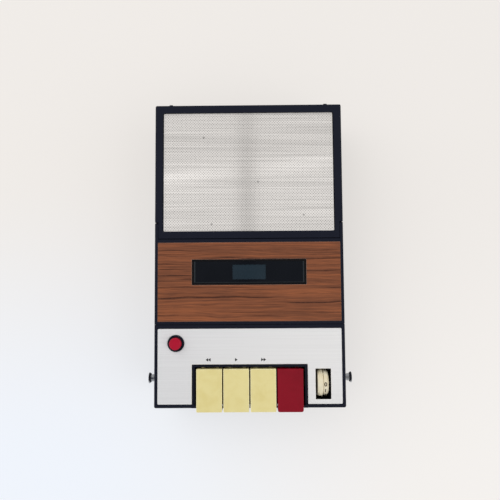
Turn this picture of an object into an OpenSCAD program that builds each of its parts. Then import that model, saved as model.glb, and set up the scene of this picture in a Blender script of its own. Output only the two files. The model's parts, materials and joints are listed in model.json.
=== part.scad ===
// Portable cassette recorder: a top loudspeaker, a wood-grain cassette lid and four piano keys.
// Right is +X, the rear edge is +Y, up is +Z, and the feet stand at z = 0. Sizes are in millimetres.

/* [Case] */
// Width of the case
case_w = 140; // [138:1:160]
// Length of the case, front to rear
case_l = 225; // [220:1:250]
// Height of the case without its feet
case_h = 56; // [56:0.5:64]
// Thickness of the case walls
wall = 2.5; // [2:0.1:3]
// Thickness of the case floor
floor_t = 2.4; // [2.2:0.1:3]
// Radius of the case's upright corners
corner_r = 1.5; // [1:0.25:3]
// Width of the chamfer along the case's long edges
edge_chamfer = 0.6; // [0.3:0.1:1]
// Height of the lower shell
seam_h = 28; // [26:0.5:30]
// Height of the groove that shows at the seam of the two shells
seam_groove = 0.5; // [0.3:0.1:1]
// Height of the rubber feet
foot_h = 2; // [1.5:0.1:4]
// Radius of the rubber feet
foot_r = 6.3; // [6:0.1:6.5]
// How far the two nubs on the rear wall stand out
nub_h = 0.8; // [0.4:0.1:2]
// Radius of the rear nubs
nub_r = 3; // [2:0.5:5]
// Distance between the rear nubs
nub_spacing = 117; // [60:1:120]

/* [Top face] */
// Case rim in front of the control panel
front_rim = 2.5; // [2.2:0.1:4]
// Case rim at each side of the control panel
side_rim = 2.3; // [2:0.1:3]
// Length of the control panel, front to rear
panel_l = 55; // [55:0.5:60]
// Thickness of the control panel
panel_t = 1; // [0.6:0.1:1.5]
// Thickness of the case deck under the control panel
deck_t = 2; // [1.5:0.1:2.5]
// Width of the case band between control panel and lid
band_w = 2.7; // [2:0.1:5]
// Width of the case bar between lid and grille
bar_w = 5.3; // [4:0.1:8]
// Width of the bezel at the grille's sides
bezel_side = 5.8; // [5.4:0.1:7]
// Width of the bezel behind the grille
bezel_rear = 5.8; // [4:0.1:8]
// How deep the grille lies below the top face
grille_recess = 1.2; // [0.6:0.1:2]
// Thickness of the grille sheet
grille_t = 0.8; // [0.5:0.1:1]
// Clearance round the grille sheet and the control panel
trim_gap = 0.15; // [0.1:0.05:0.3]
// Gap between the grille sheet and the bezel on its left
grille_left_gap = 1; // [0.1:0.05:1.4]
// Distance between the grille's holes, side to side
punch_pitch = 5.8; // [5:0.1:8]
// Distance between the grille's rows of holes
punch_row = 3.2; // [2.6:0.1:5]
// Diameter of the grille's holes
punch_d = 2; // [1:0.1:2.2]
// Width of the plain border round the grille's holes
punch_border = 2.4; // [1.5:0.1:4]

/* [Lid] */
// How far the cassette reaches under the bar behind the lid
cassette_under_bar = 4.7; // [4:0.1:5.4]
// Thickness of the lid
lid_t = 3; // [2.8:0.1:3.4]
// Gap between the lid and the case in front of it
lid_gap = 0.3; // [0.2:0.1:0.6]
// Gap between the lid and the bar behind it
lid_rear_gap = 0.5; // [0.5:0.1:0.8]
// Height of the lid's side skirts and hinge arms
skirt_h = 5; // [4.6:0.1:6]
// Thickness of the lid's side skirts and hinge arms
skirt_t = 2.3; // [1.8:0.1:2.5]
// Distance from the lid's rear edge to its hinge pins
pivot_back = 9.9; // [8:0.1:12]
// Diameter of the lid's hinge pins
lid_pin_d = 2; // [1.6:0.1:2.4]
// Thickness of the wood-grain plate
veneer_t = 0.5; // [0.3:0.1:0.8]
// Width of the lid's window
window_w = 84; // [70:1:100]
// Length of the window, front to rear
window_l = 18.1; // [15:0.1:24]
// Width of the clear port in the window
port_w = 24.9; // [20:0.1:40]
// Length of the clear port, front to rear
port_l = 11.1; // [8:0.1:13]

/* [Keys] */
// Width of a piano key
key_w = 18.7; // [16:0.1:18.9]
// Distance from key to key
key_pitch = 19.7; // [19.5:0.1:19.8]
// Length of a key cap, front to rear
key_l = 30.8; // [30:0.1:33]
// How far the keys reach over the case's front
key_overhang = 2.6; // [2.5:0.1:4]
// How far the key tops stand above the top face
key_rise = 2; // [1:0.1:3]
// Wall of a key cap
key_wall = 1.4; // [1:0.1:1.6]
// Depth of a key's front skirt
key_front_h = 13; // [11:0.5:13]
// Depth of a key's side skirts
key_side_h = 10; // [7:0.5:10]
// Diameter of the key shaft
key_shaft_d = 4; // [3:0.1:5]
// How far the keys turn when they are pressed, in degrees
key_travel = 12; // [8:1:12]
// Radius of the cream keys' front corners
key_corner_r = 0.6; // [0.3:0.1:2]
// Radius of the red stop key's front corners
stop_corner_r = 1.4; // [0.3:0.1:2.5]
// Gap beside the row of keys
key_side_gap = 1.5; // [1:0.1:2]
// Gap behind the keys
key_rear_gap = 1.2; // [0.8:0.1:1.6]
// Width of the black surround of the keys
key_surround = 2; // [1:0.1:2.5]

/* [Controls] */
// Diameter of the record button
record_d = 8.8; // [8:0.1:9.4]
// How far the record button stands above the top face
record_rise = 4.5; // [4:0.1:6]
// Diameter of the ring round the record button
record_ring_d = 12; // [11.4:0.1:13]
// Distance from the case's left side to the record button
record_inset = 15.9; // [15.5:0.1:17]
// Diameter of the volume wheel
wheel_d = 19.8; // [17:0.1:20]
// Width of the volume wheel, both halves
wheel_w = 7.8; // [6:0.1:8.4]
// How far the volume wheel stands above the top face
wheel_rise = 2; // [1:0.1:3]
// Width of the cone at the wheel's right edge
wheel_cone = 1.2; // [0.5:0.1:1.6]
// Number of grooves in the wheel's knurled half
wheel_grooves = 40; // [24:1:48]

/* [Strap studs] */
// Diameter of a stud's neck
stud_neck_d = 5.4; // [4:0.1:7]
// Length of a stud's neck
stud_neck_l = 6.3; // [3:0.1:8]
// Diameter of a stud's head
stud_head_d = 8; // [7.5:0.1:9]
// Thickness of a stud's head
stud_head_t = 2.7; // [2:0.1:4]
// Distance from the case's front to the studs
stud_from_front = 18; // [17.5:0.5:20]
// How deep the studs lie below the top face
stud_below_top = 22; // [21:0.5:23]

/* [Cassette and deck] */
// Width of a compact cassette
cassette_w = 100.4; // [100.4:0.1:101]
// Length of a compact cassette, from its head edge to its closed edge
cassette_l = 63.8; // [63.8:0.1:64.2]
// Distance between the two hubs
hub_spacing = 42.5; // [42.5:0.1:42.7]
// Distance from the hubs to the cassette's closed edge
hub_to_closed_edge = 29.3; // [29:0.1:29.6]
// Distance from the lid's front edge to the cassette's head edge
head_edge_setback = 3.9; // [3.5:0.1:4.5]
// Clearance round the cassette in its well
well_gap = 0.8; // [0.5:0.1:1.2]
// Depth of the cassette well under the lid
well_depth = 14; // [14:0.1:15]
// Thickness of the deck cover's walls
cover_t = 1.2; // [1:0.1:1.5]
// Space between deck cover and chassis
chassis_space = 5.8; // [5.6:0.1:6.5]
// Thickness of the steel chassis
chassis_t = 1.2; // [1:0.1:1.6]

/* [Drive] */
// Diameter of the capstan shaft
capstan_d = 2; // [2:0.1:2.4]
// Diameter of the flywheel
flywheel_d = 48; // [44:0.5:49]
// Thickness of the flywheel
flywheel_t = 6.8; // [6:0.1:7]
// Diameter of the motor
motor_d = 32; // [28:0.5:33]
// Height of the motor
motor_h = 19; // [16:0.5:19.5]
// Diameter of the motor pulley
motor_pulley_d = 6.4; // [6:0.1:8]
// Diameter of the pinch roller
roller_d = 10; // [9:0.1:10]
// How far the head bridge moves
bridge_travel = 2.4; // [2:0.1:2.6]
// Thickness of the belts
belt_t = 1.2; // [1:0.1:1.4]

/* [Loudspeaker] */
// Outer diameter of the loudspeaker
speaker_d = 77; // [70:1:80]
// Depth of the loudspeaker
speaker_depth = 19; // [16:0.5:19]
// Diameter of the magnet
magnet_d = 34; // [28:1:40]

/* [Batteries] */
// Length of the bay for two rows of cells
bay_l = 54; // [54:0.1:56]
// Width of the bay, for two cells end to end
bay_w = 105; // [104:0.5:106]
// Height of the bay
bay_h = 27; // [26.8:0.1:27.4]
// Thickness of the battery door
door_t = 2.2; // [1.8:0.1:2.2]
// Gap round the battery door
door_gap = 0.25; // [0.2:0.05:0.4]

/* [Sockets] */
// Diameter of the microphone and earphone plugs' sockets
jack_d = 3.6; // [3.5:0.1:3.8]
// Diameter of the remote plug's socket
remote_d = 2.6; // [2.5:0.1:2.8]
// Diameter of the power socket
power_d = 5.6; // [5:0.1:6]
// Distance between the audio sockets
jack_pitch = 14; // [12:0.5:15]

/* [Hidden] */
$fn = 64;
fine = 32;
running_gap = 0.05;
air = 0.3;

side = case_w / 2;
front = -case_l / 2;
rear = case_l / 2;
inner_side = side - wall;
inner_front = front + wall;
inner_rear = rear - wall;
case_shift = (key_overhang - nub_h) / 2;

z_base = foot_h;
z_floor = z_base + floor_t;
z_seam = z_base + seam_h;
z_top = z_base + case_h;
z_panel = z_top - panel_t;
z_deck = z_panel - deck_t;

panel_side = side - side_rim;
panel_y0 = front + front_rim;
panel_y1 = panel_y0 + panel_l;

lid_y0 = panel_y1 + band_w + lid_gap;
cassette_y0 = lid_y0 + head_edge_setback;
cassette_y1 = cassette_y0 + cassette_l;
lid_y1 = cassette_y1 - cassette_under_bar;
z_lid = z_top - lid_t;
pivot_y = lid_y1 + pivot_back;
pivot_z = z_top - skirt_h / 2;
skirt_side = side - skirt_t;
veneer_y0 = lid_y0 + 2;
veneer_y1 = lid_y1 - 2.4;
veneer_side = side - 2.2;

bar_y0 = lid_y1 + lid_rear_gap;
grille_y0 = bar_y0 + bar_w;
grille_y1 = rear - bezel_rear;
grille_side = side - bezel_side;
z_grille = z_top - grille_recess;
grille_ledge = 2.2;
cloth_t = 0.5;
cloth_space = 1;
baffle_t = 2;
z_baffle_top = z_grille - grille_t - cloth_space - cloth_t;
z_baffle = z_baffle_top - baffle_t;
speaker_y = (grille_y0 + grille_y1) / 2;

hub_y = cassette_y1 - hub_to_closed_edge;
hub_x = hub_spacing / 2;
window_y = hub_y;
well_side = cassette_w / 2 + well_gap;
well_y1 = cassette_y1 + well_gap;
z_well = z_lid - well_depth;
z_chassis = z_well - cover_t - chassis_space;
z_chassis_under = z_chassis - chassis_t;
well_y0 = cassette_y0 - well_gap;
cover_front = cassette_y0 - 16;
heads_x0 = -22;
heads_x1 = 34;
heads_margin = 2.5;
spindle_hole_r = 6.5;
capstan_hole_r = 3;
cover_gap = 1;
cover_side = inner_side - cover_gap / 2;
leaf_x = 31;
leaf_w = 6;
leaf_l = 28;
leaf_foot = 4;
leaf_t = 0.4;
leaf_drop = 2.2;
z_cover = z_well + 10.5;
ledge_w = 2;
ledge_h = 3;

key_y0 = front - key_overhang;
key_y1 = key_y0 + key_l;
z_key = z_top + key_rise;
key_open_y = key_y1 + key_rear_gap;
key_open_side = 1.5 * key_pitch + key_w / 2 + key_side_gap;
key_cut_side = key_open_side + key_surround;
key_cut_y = key_open_y + key_surround;
shaft_y = key_y1 + 8.3;
shaft_z = z_deck - 7;
key_arm_r = 4;
key_roof = 2.2;
arm_spread = 5.5;
arm_t = 2;
lever_t = 1.2;
toe_z = z_chassis + 2.2;
toe_half = 2;
skirt_overlap = 1.3;
front_wall_top = z_key - key_front_h + skirt_overlap;
front_wall_set = 0.6;
recess_z0 = z_key - key_front_h - 10;

record_x = -(side - record_inset);
record_y = panel_y1 - 10.7;
record_travel = 3.5;
record_switch_h = 11;
stem_d = 4;
tube_shelf_z = z_deck - 10;
wheel_x0 = side - 20.4;
wheel_x1 = wheel_x0 + wheel_w;
wheel_split = wheel_x0 + 4.1;
wheel_y = front + 17;
wheel_z = z_top + wheel_rise - wheel_d / 2;
slot_x0 = wheel_x0 - 1.6;
slot_x1 = wheel_x0 + 9.7;
slot_half = wheel_d / 2 + 1.15;
pot_r = 6.3;
pot_x = slot_x1 + 0.7;

stud_y = front + stud_from_front;
stud_z = z_top - stud_below_top;
boss_x = side - 6.8;
boss_y = rear - 6.8;
boss_r = 4.5;
screw_r = 1.3;
screw_head_r = 2.8;
screw_head_t = 1.5;
screw_l = 9;
recess_reach = 1.7;
recess_half = 0.4;
recess_depth = 0.9;
front_boss_top = stud_z + 6;

// Batteries lie against the rear wall, so the mechanism's rear end follows their box
bay_y1 = inner_rear - 4.6;
bay_y0 = bay_y1 - bay_l;
box_t = 1.2;
box_flange = 2.8;
box_y0 = bay_y0 - box_t - box_flange;

capstan_x = 24.5;
capstan_y = cassette_y0 + 6.1;
post_x = 45.5;
post_r = 3.5;
post_clearance = 2.3;
post_front_y = capstan_y - sqrt(pow(flywheel_d / 2 + post_r + post_clearance, 2)
                                - pow(post_x - capstan_x, 2));
post_rear_y = box_y0 - post_r - 5.5;
chassis_x0 = -48;
chassis_x1 = 56;
chassis_y0 = shaft_y - 8;
chassis_y1 = post_rear_y + 4.5;
hole_r = 4;
hole_pitch = 11;
hole_x = 18;

motor_x = -30;
motor_y = post_rear_y - 20.5;
pcb_z = z_floor + 2.6;
pcb_t = 1.6;
pcb_side = inner_side - 3.5;
pcb_y0 = inner_front + 3;
pcb_y1 = motor_y - motor_d / 2 - 22;
z_pcb = pcb_z + pcb_t;
can_r = 3.5;
can_h = 13;
can_pitch = 12;
small_can_r = 2.5;
small_can_h = 10;
small_can_pitch = 7;
transistor = [4, 3];
transformer = [16, 12, 11];
shield_can = [28, 8, 7];
z_flywheel = z_chassis_under - 1.5 - flywheel_t;
groove_h = belt_t + 0.4;
z_groove = z_flywheel + 2.7;
flywheel_groove_r = flywheel_d / 2 - 1.4;
strap_turn = 42;
strap_reach = flywheel_d / 2 + 3;
z_strap = z_flywheel - 7;
strap_t = 1.2;
hub_pulley_r = 3.4;
take_up_pulley_r = 12.2;
z_reel = z_chassis + 1.2;
z_reel_groove = z_reel + 1.2;
reel_r = 13.5;
reel_t = 3.4;
z_spindle_top = z_well + 8.5;
bearing_r = 3.5;

z_motor_top = z_flywheel + 0.5;
motor_turn = atan2(capstan_y - motor_y, capstan_x - motor_x);

bridge_x0 = -24;
bridge_x1 = 14;
bridge_y0 = shaft_y + 7.5;
bridge_y1 = cassette_y0 - 2;
bridge_t = 1.2;
z_bridge = z_chassis + 0.4;
head_face_y = cassette_y0 - 0.3;
head_h = 10;
z_head = z_well + 1;
head_w = 13;
erase_w = 8;
erase_x = -13.5;
guide_x = [bridge_x0 + 6, bridge_x1 - 6];
guide_y = bridge_y0 + 8.5;
guide_r = 1.5;

pinch_x = 44;
pinch_y = capstan_y - 8.6;
pinch_reach = 19.6;
pinch_rest = 188.2;
roller_x = pinch_x + pinch_reach * cos(pinch_rest);
roller_y = pinch_y + pinch_reach * sin(pinch_rest);
z_pinch = z_chassis + 0.4;
pinch_arm_t = 1;
z_roller = z_well + 2;
roller_h = 7;
roller_pin_r = 1.2;

bar_front = shaft_y + 4.8;
bar_t = 1.5;
bar_z0 = z_chassis + 5.5;
bar_z1 = bar_z0 + 4;
latch_travel = 2;
ear_x = key_open_side + 3;
ear_t = 1.2;
ear_reach = 6;

z_bay = z_floor + bay_h - 0.2;
door_side = bay_w / 2 + 1;
door_y0 = bay_y0 - 1.5;
door_tongue = 0.8;
door_tongue_h = 0.7;
speaker_flange_t = 1.2;
z_magnet = z_baffle - speaker_depth;
magnet_h = 8;

jack_len = 11.5;
jack_size = 9.6;
jack_z = z_pcb + jack_size / 2;
jack_y = lid_y0 - 10.1;
power_y = lid_y0 + 6.9;

// The drawing's own centre is the case's centre; the part's is the middle of its outer box
module placed() {
    translate([0, case_shift, 0]) children();
}

module block(x0, x1, y0, y1, z0, z1) {
    translate([x0, y0, z0]) cube([x1 - x0, y1 - y0, z1 - z0]);
}

module rod_z(x, y, z0, z1, r) {
    translate([x, y, z0]) cylinder(r = r, h = z1 - z0);
}

module rod_x(x0, x1, y, z, r) {
    translate([x0, y, z]) rotate([0, 90, 0]) cylinder(r = r, h = x1 - x0);
}

module rounded_rect(w, l, r) {
    square([w - 2 * r, l], center = true);
    square([w, l - 2 * r], center = true);
    for (sx = [-1, 1], sy = [-1, 1]) {
        translate([sx * (w / 2 - r), sy * (l / 2 - r)]) circle(r = r);
    }
}

module rounded_block(x0, x1, y0, y1, z0, z1, r) {
    translate([(x0 + x1) / 2, (y0 + y1) / 2, z0])
        linear_extrude(z1 - z0) rounded_rect(x1 - x0, y1 - y0, r);
}

// Sharp-cornered prism that takes the chamfer off the four long edges at height z
module edge_cuts(z) {
    c = edge_chamfer * sqrt(2);
    for (s = [-1, 1]) {
        translate([s * side, 0, z]) rotate([0, 45, 0]) cube([c, case_l + 2, c], center = true);
        translate([0, s * rear, z]) rotate([45, 0, 0]) cube([case_w + 2, c, c], center = true);
    }
}

module at_corners(x, y) {
    for (sx = [-1, 1], sy = [-1, 1]) translate([sx * x, sy * y, 0]) children();
}

module at_posts() {
    for (sx = [-1, 1], y = [post_front_y, post_rear_y]) translate([sx * post_x, y, 0]) children();
}

function key_x(i) = (i - 1.5) * key_pitch;

// Lower shell

module bottom_case() {
    color("#22252b") placed() {
        difference() {
            union() {
                difference() {
                    rounded_block(-side, side, front, rear, z_base, z_seam, corner_r);
                    rounded_block(-inner_side, inner_side, inner_front, inner_rear,
                                  z_floor, z_seam + 1, corner_r / 2);
                    edge_cuts(z_base);
                }
                seam_lip();
                at_corners(boss_x, boss_y) rod_z(0, 0, z_base + 1, z_seam - 1, boss_r);
                at_posts() rod_z(0, 0, z_floor - 1, z_chassis_under, post_r);
                board_pads();
                for (sx = [-1, 1]) rear_nub(sx * nub_spacing / 2);
            }
            battery_opening();
            at_corners(boss_x, boss_y) {
                rod_z(0, 0, z_base - 1, z_base + 1, foot_r + 0.1);
                rod_z(0, 0, z_base - 1, z_base + 3, screw_head_r + 0.2);
                rod_z(0, 0, z_base - 1, z_seam, screw_r + 0.2);
            }
            at_posts() rod_z(0, 0, z_chassis_under - screw_l - 1, z_chassis_under + 1, screw_r);
            socket_holes();
        }
    }
}

// Thin lip inside the seam that the upper shell slips over
module seam_lip() {
    lip_t = wall * 0.45;
    difference() {
        rounded_block(-inner_side - lip_t, inner_side + lip_t, inner_front - lip_t,
                      inner_rear + lip_t, z_seam - 1, z_seam + 1.8, corner_r / 2 + lip_t / 2);
        rounded_block(-inner_side, inner_side, inner_front, inner_rear,
                      z_seam - 2, z_seam + 3, corner_r / 2);
    }
}

module board_pads() {
    for (sx = [-1, 1], y = [pcb_y0 + 16, pcb_y1 - 4]) {
        rod_z(sx * (pcb_side - 4), y, z_floor - 1, pcb_z, 3);
    }
}

module rear_nub(x) {
    translate([x, inner_rear, z_seam - 8]) rotate([-90, 0, 0])
        cylinder(r1 = nub_r, r2 = nub_r, h = wall + nub_h);
}

module battery_opening() {
    edge = door_side + door_gap;
    groove = edge + door_tongue;
    block(-edge, edge, door_y0 - door_gap, rear + 1, z_base - 1, z_floor + 0.01);
    block(-groove, groove, door_y0 - door_gap, rear + 1,
          z_base + 0.75 - door_gap / 2, z_base + 0.75 + door_tongue_h + door_gap / 2);
}

module socket_holes() {
    for (i = [0:2]) {
        rod_x(inner_side - 1, side + 1, jack_y + i * jack_pitch, jack_z, jack_size / 2 - 0.6);
    }
    rod_x(-side - 1, -inner_side + 1, power_y, jack_z, jack_size / 2 - 0.6);
}

// Upper shell

module top_case() {
    color("#20242b") placed() {
        difference() {
            union() {
                top_shell();
                record_tube();
                for (sx = [-1, 1]) {
                    cover_ledge(sx);
                    stud_boss(sx);
                    translate([sx * boss_x, -boss_y, 0]) rod_z(0, 0, z_seam - 0.5, front_boss_top, boss_r);
                    translate([sx * boss_x, boss_y, 0]) rod_z(0, 0, z_seam - 0.5, z_baffle + 1, boss_r);
                }
            }
            at_corners(boss_x, boss_y) rod_z(0, 0, z_seam - 1, z_seam + 9, screw_r);
            for (sx = [-1, 1]) stud_hole(sx);
            lip_rebate();
            record_bore();
            lid_pin_holes();
            block(-side - 1, side + 1, front - 1, rear + 1, z_seam - 1, z_seam);
        }
    }
}

module top_shell() {
    difference() {
        rounded_block(-side, side, front, rear, z_seam, z_top, corner_r);
        edge_cuts(z_top);
        // hollow under the control panel
        block(-inner_side, inner_side, inner_front, panel_y1 + 0.4, z_seam - 1, z_deck);
        // hollow from the band to the bar, open to the top where the lid lies
        block(-inner_side, inner_side, panel_y1, bar_y0 + 0.5, z_seam - 1, z_top - deck_t - 0.5);
        block(-side - 1, side + 1, lid_y0 - lid_gap, bar_y0, z_top - skirt_h - air, z_top + 1);
        block(-inner_side, inner_side, lid_y0 - lid_gap, bar_y0, z_seam - 1, z_top + 1);
        // notches for the lid's hinge arms
        for (sx = [-1, 1]) {
            block(min(sx * (skirt_side - air), sx * (side + 1)), max(sx * (skirt_side - air), sx * (side + 1)),
                  bar_y0 - 1, pivot_y + skirt_h / 2 + air, z_top - skirt_h - air, z_top + 1);
        }
        // hollow under the loudspeaker's baffle
        block(-inner_side, inner_side, bar_y0 + 0.4, inner_rear, z_seam - 1, z_baffle);
        grille_pocket();
        rod_z(0, speaker_y, z_baffle - 1, z_baffle_top + 1, speaker_d / 2 - 4);
        for (a = [45:90:315]) rod_z(speaker_screw_r() * cos(a), speaker_y + speaker_screw_r() * sin(a),
                                    z_baffle - 1, z_baffle_top - 0.2 * baffle_t, screw_r);
        // control panel's seat
        rounded_block(-panel_side, panel_side, panel_y0, panel_y1, z_panel, z_top + 1, 1);
        // keys, with the front wall lowered and set back behind their skirts
        block(-key_open_side, key_open_side, front - 1, key_open_y, front_wall_top, z_top + 1);
        block(-key_cut_side, key_cut_side, front - 1, front + front_wall_set, recess_z0, z_top + 1);
        // volume wheel and its potentiometer
        block(slot_x0 - 0.6, inner_side, wheel_y - slot_half - 0.5, wheel_y + slot_half + 0.5,
              z_deck - 1, z_panel + 0.5);
    }
}

module grille_pocket() {
    rounded_block(-grille_side, grille_side, grille_y0, grille_y1, z_grille - grille_t, z_top + 1, 1.5);
    rounded_block(-grille_side + grille_ledge, grille_side - grille_ledge, grille_y0 + grille_ledge,
                  grille_y1 - grille_ledge, z_baffle_top, z_top, 1.5);
}

module record_tube() {
    rod_z(record_x, record_y, tube_shelf_z - 1.5, z_top + 0.9, record_ring_d / 2);
}

module record_bore() {
    rod_z(record_x, record_y, tube_shelf_z, z_top + 2, record_d / 2 + air);
    rod_z(record_x, record_y, tube_shelf_z - 3, z_top, stem_d / 2 + 0.1);
}

module cover_ledge(sx) {
    x = [sx * (inner_side - ledge_w), sx * (inner_side + 0.5)];
    block(min(x), max(x), lid_y0, bar_y0 - cover_gap, z_cover - cover_t - ledge_h, z_cover - cover_t);
}

module stud_boss(sx) {
    x = [sx * (inner_side - 5), sx * (inner_side + 0.5)];
    rod_x(min(x), max(x), stud_y, stud_z, 4);
}

module stud_hole(sx) {
    x = [sx * (inner_side - 6), sx * (side + 1)];
    rod_x(min(x), max(x), stud_y, stud_z, 1.6);
}

module lip_rebate() {
    lip_t = wall * 0.45 + 0.15;
    difference() {
        rounded_block(-inner_side - lip_t, inner_side + lip_t, inner_front - lip_t,
                      inner_rear + lip_t, z_seam - 1, z_seam + 2, corner_r / 2 + lip_t / 2);
        at_corners(boss_x, boss_y) rod_z(0, 0, z_seam - 2, z_seam + 3, boss_r - 0.8);
    }
    seam_groove_cut();
}

// Shallow groove that runs round the case just above the seam
module seam_groove_cut() {
    difference() {
        rounded_block(-side - 1, side + 1, front - 1, rear + 1, z_seam - 1, z_seam + seam_groove, corner_r);
        rounded_block(-side + 0.4, side - 0.4, front + 0.4, rear - 0.4,
                      z_seam - 2, z_seam + 2, corner_r);
    }
}

module lid_pin_holes() {
    rod_x(-side, -grille_side - 0.4, pivot_y, pivot_z, lid_pin_d / 2);
    rod_x(grille_side + 0.4, side, pivot_y, pivot_z, lid_pin_d / 2);
}

// Fasteners, feet and studs

module feet() {
    color("#17181a") placed() at_corners(boss_x, boss_y) {
        difference() {
            union() {
                rod_z(0, 0, 0.6, z_base + 1, foot_r);
                translate([0, 0, 0]) cylinder(r1 = foot_r - 0.6, r2 = foot_r, h = 0.6);
            }
            rod_z(0, 0, -1, z_base + 2, screw_head_r + 0.2);
        }
    }
}

module case_screws() {
    color("silver") placed() at_corners(boss_x, boss_y) {
        difference() {
            union() {
                rod_z(0, 0, z_base + 0.8, z_base + 3, screw_head_r);
                rod_z(0, 0, z_base + 2, z_seam + 8, screw_r);
            }
            // cross recess
            for (a = [0, 90]) rotate([0, 0, a])
                block(-recess_reach, recess_reach, -recess_half, recess_half, z_base, z_base + 0.8 + recess_depth);
        }
    }
}

module inner_screws() {
    color("silver") placed() {
        at_posts() {
            rod_z(0, 0, z_chassis_under - screw_l, z_chassis + screw_head_t / 2, screw_r);
            rod_z(0, 0, z_chassis, z_chassis + screw_head_t, screw_head_r);
        }
        for (a = [45:90:315]) {
            translate([speaker_screw_r() * cos(a), speaker_y + speaker_screw_r() * sin(a), 0]) {
                rod_z(0, 0, z_baffle - speaker_flange_t - screw_head_t, z_baffle - speaker_flange_t, screw_head_r);
                rod_z(0, 0, z_baffle - speaker_flange_t - screw_head_t / 2, z_baffle_top - 0.2 * baffle_t, screw_r);
            }
        }
    }
}

function speaker_screw_r() = speaker_d / 2 + screw_r + 0.2;

module strap_studs() {
    color("#c9ccd1") placed() {
        stud();
        mirror([1, 0, 0]) stud();
    }
}

module stud() {
    flange_t = 1;
    neck_end = side + flange_t + stud_neck_l;
    lip = 0.8;
    translate([0, stud_y, stud_z]) rotate([0, 90, 0]) {
        translate([0, 0, inner_side - 5]) cylinder(r = 1.5, h = wall + 6);
        translate([0, 0, side]) cylinder(r = stud_neck_d / 2 + 1.6, h = flange_t);
        translate([0, 0, side]) cylinder(r = stud_neck_d / 2, h = flange_t + stud_neck_l);
        translate([0, 0, neck_end]) cylinder(r1 = stud_neck_d / 2, r2 = stud_head_d / 2, h = lip);
        translate([0, 0, neck_end + lip]) cylinder(r = stud_head_d / 2, h = stud_head_t - 2 * lip);
        translate([0, 0, neck_end + stud_head_t - lip])
            cylinder(r1 = stud_head_d / 2, r2 = stud_head_d / 2 - lip, h = lip);
    }
}

// Grille and loudspeaker

// Punched sheet: rows of round holes, each row shifted by half a step against the next
module speaker_grille() {
    w = 2 * grille_side - grille_left_gap - trim_gap;
    l = grille_y1 - grille_y0 - 2 * trim_gap;
    columns = floor((w - 2 * punch_border - punch_d - punch_pitch / 2) / punch_pitch) + 1;
    rows = floor((l - 2 * punch_border - punch_d) / punch_row) + 1;
    middle_x = (grille_left_gap - trim_gap) / 2;
    color("#cfccc7") placed() translate([middle_x, speaker_y, z_grille - grille_t]) linear_extrude(grille_t)
        difference() {
            rounded_rect(w, l, 1.4);
            for (row = [0:rows - 1], column = [0:columns - 1])
                translate([(column - (columns - 1) / 2 + (row % 2 - 0.5) / 2) * punch_pitch,
                           (row - (rows - 1) / 2) * punch_row])
                    circle(d = punch_d, $fn = 16);
        }
}

module grille_cloth() {
    inset = grille_ledge + trim_gap;
    color("#101114") placed()
        rounded_block(-grille_side + inset, grille_side - inset, grille_y0 + inset,
                      grille_y1 - inset, z_baffle_top, z_baffle_top + cloth_t, 1.3);
}

module speaker_frame() {
    r = speaker_d / 2;
    z_flange = z_baffle - speaker_flange_t;
    z_back = z_magnet + magnet_h;
    color("#8d9096") placed() translate([0, speaker_y, 0]) {
        difference() {
            union() {
                rod_z(0, 0, z_flange, z_baffle, r);
                translate([0, 0, z_back])
                    cylinder(r1 = magnet_d / 2 + 3, r2 = r - 4, h = z_flange - z_back + 0.01);
                for (a = [45:90:315]) rotate([0, 0, a])
                    translate([r - 1, -4, z_flange]) cube([2 * screw_r + 3.6, 8, speaker_flange_t]);
            }
            translate([0, 0, z_back + 1])
                cylinder(r1 = magnet_d / 2 + 2, r2 = r - 5, h = z_flange - z_back - 0.99);
            rod_z(0, 0, z_flange - 0.1, z_baffle + 1, r - 5);
            rod_z(0, 0, z_back - 1, z_back + 2, magnet_d / 4);
            // windows in the basket
            for (a = [0:60:300]) rotate([0, 0, a])
                translate([magnet_d / 2 - 2, -7, z_back + 2]) cube([r, 14, z_flange - z_back - 4]);
            for (a = [45:90:315]) rotate([0, 0, a])
                translate([speaker_screw_r(), 0, z_flange - 1]) cylinder(r = screw_r + 0.1, h = 4);
        }
    }
}

module speaker_cone() {
    r = speaker_d / 2 - 5.2;
    z_flange = z_baffle - speaker_flange_t;
    z_back = z_magnet + magnet_h;
    coil_r = magnet_d / 4 - 0.4;
    color("#26262a") placed() translate([0, speaker_y, 0]) rotate_extrude()
        polygon([
            [0, z_back + 5.4], [coil_r - 1, z_back + 4.2], [coil_r - 0.6, z_back - 1],
            [coil_r, z_back - 1], [coil_r, z_back + 3.2], [r - 4.5, z_flange - 0.7],
            [r - 2.5, z_flange], [r, z_flange], [r, z_flange + 0.6],
            [r - 2.8, z_flange + 0.8], [r - 4.8, z_flange + 0.1], [coil_r + 0.4, z_back + 4.2],
            [0, z_back + 6.2]
        ]);
}

module speaker_magnet() {
    color("#4a4c50") placed() translate([0, speaker_y, 0]) difference() {
        rod_z(0, 0, z_magnet, z_magnet + magnet_h, magnet_d / 2);
        rod_z(0, 0, z_magnet + 2, z_magnet + magnet_h + 1, magnet_d / 4);
    }
}

// Control panel

module control_panel() {
    edge = trim_gap;
    color("#d6d7d9") placed() difference() {
        rounded_block(-panel_side + edge, panel_side - edge, panel_y0 + edge, panel_y1 - edge,
                      z_panel, z_top, 0.9);
        block(-key_cut_side, key_cut_side, panel_y0 - 1, key_cut_y, z_panel - 1, z_top + 1);
        rod_z(record_x, record_y, z_panel - 1, z_top + 1, record_ring_d / 2 + 0.1);
        block(slot_x0, slot_x1, wheel_y - slot_half, wheel_y + slot_half, z_panel - 1, z_top + 1);
    }
}

// Deck

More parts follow.
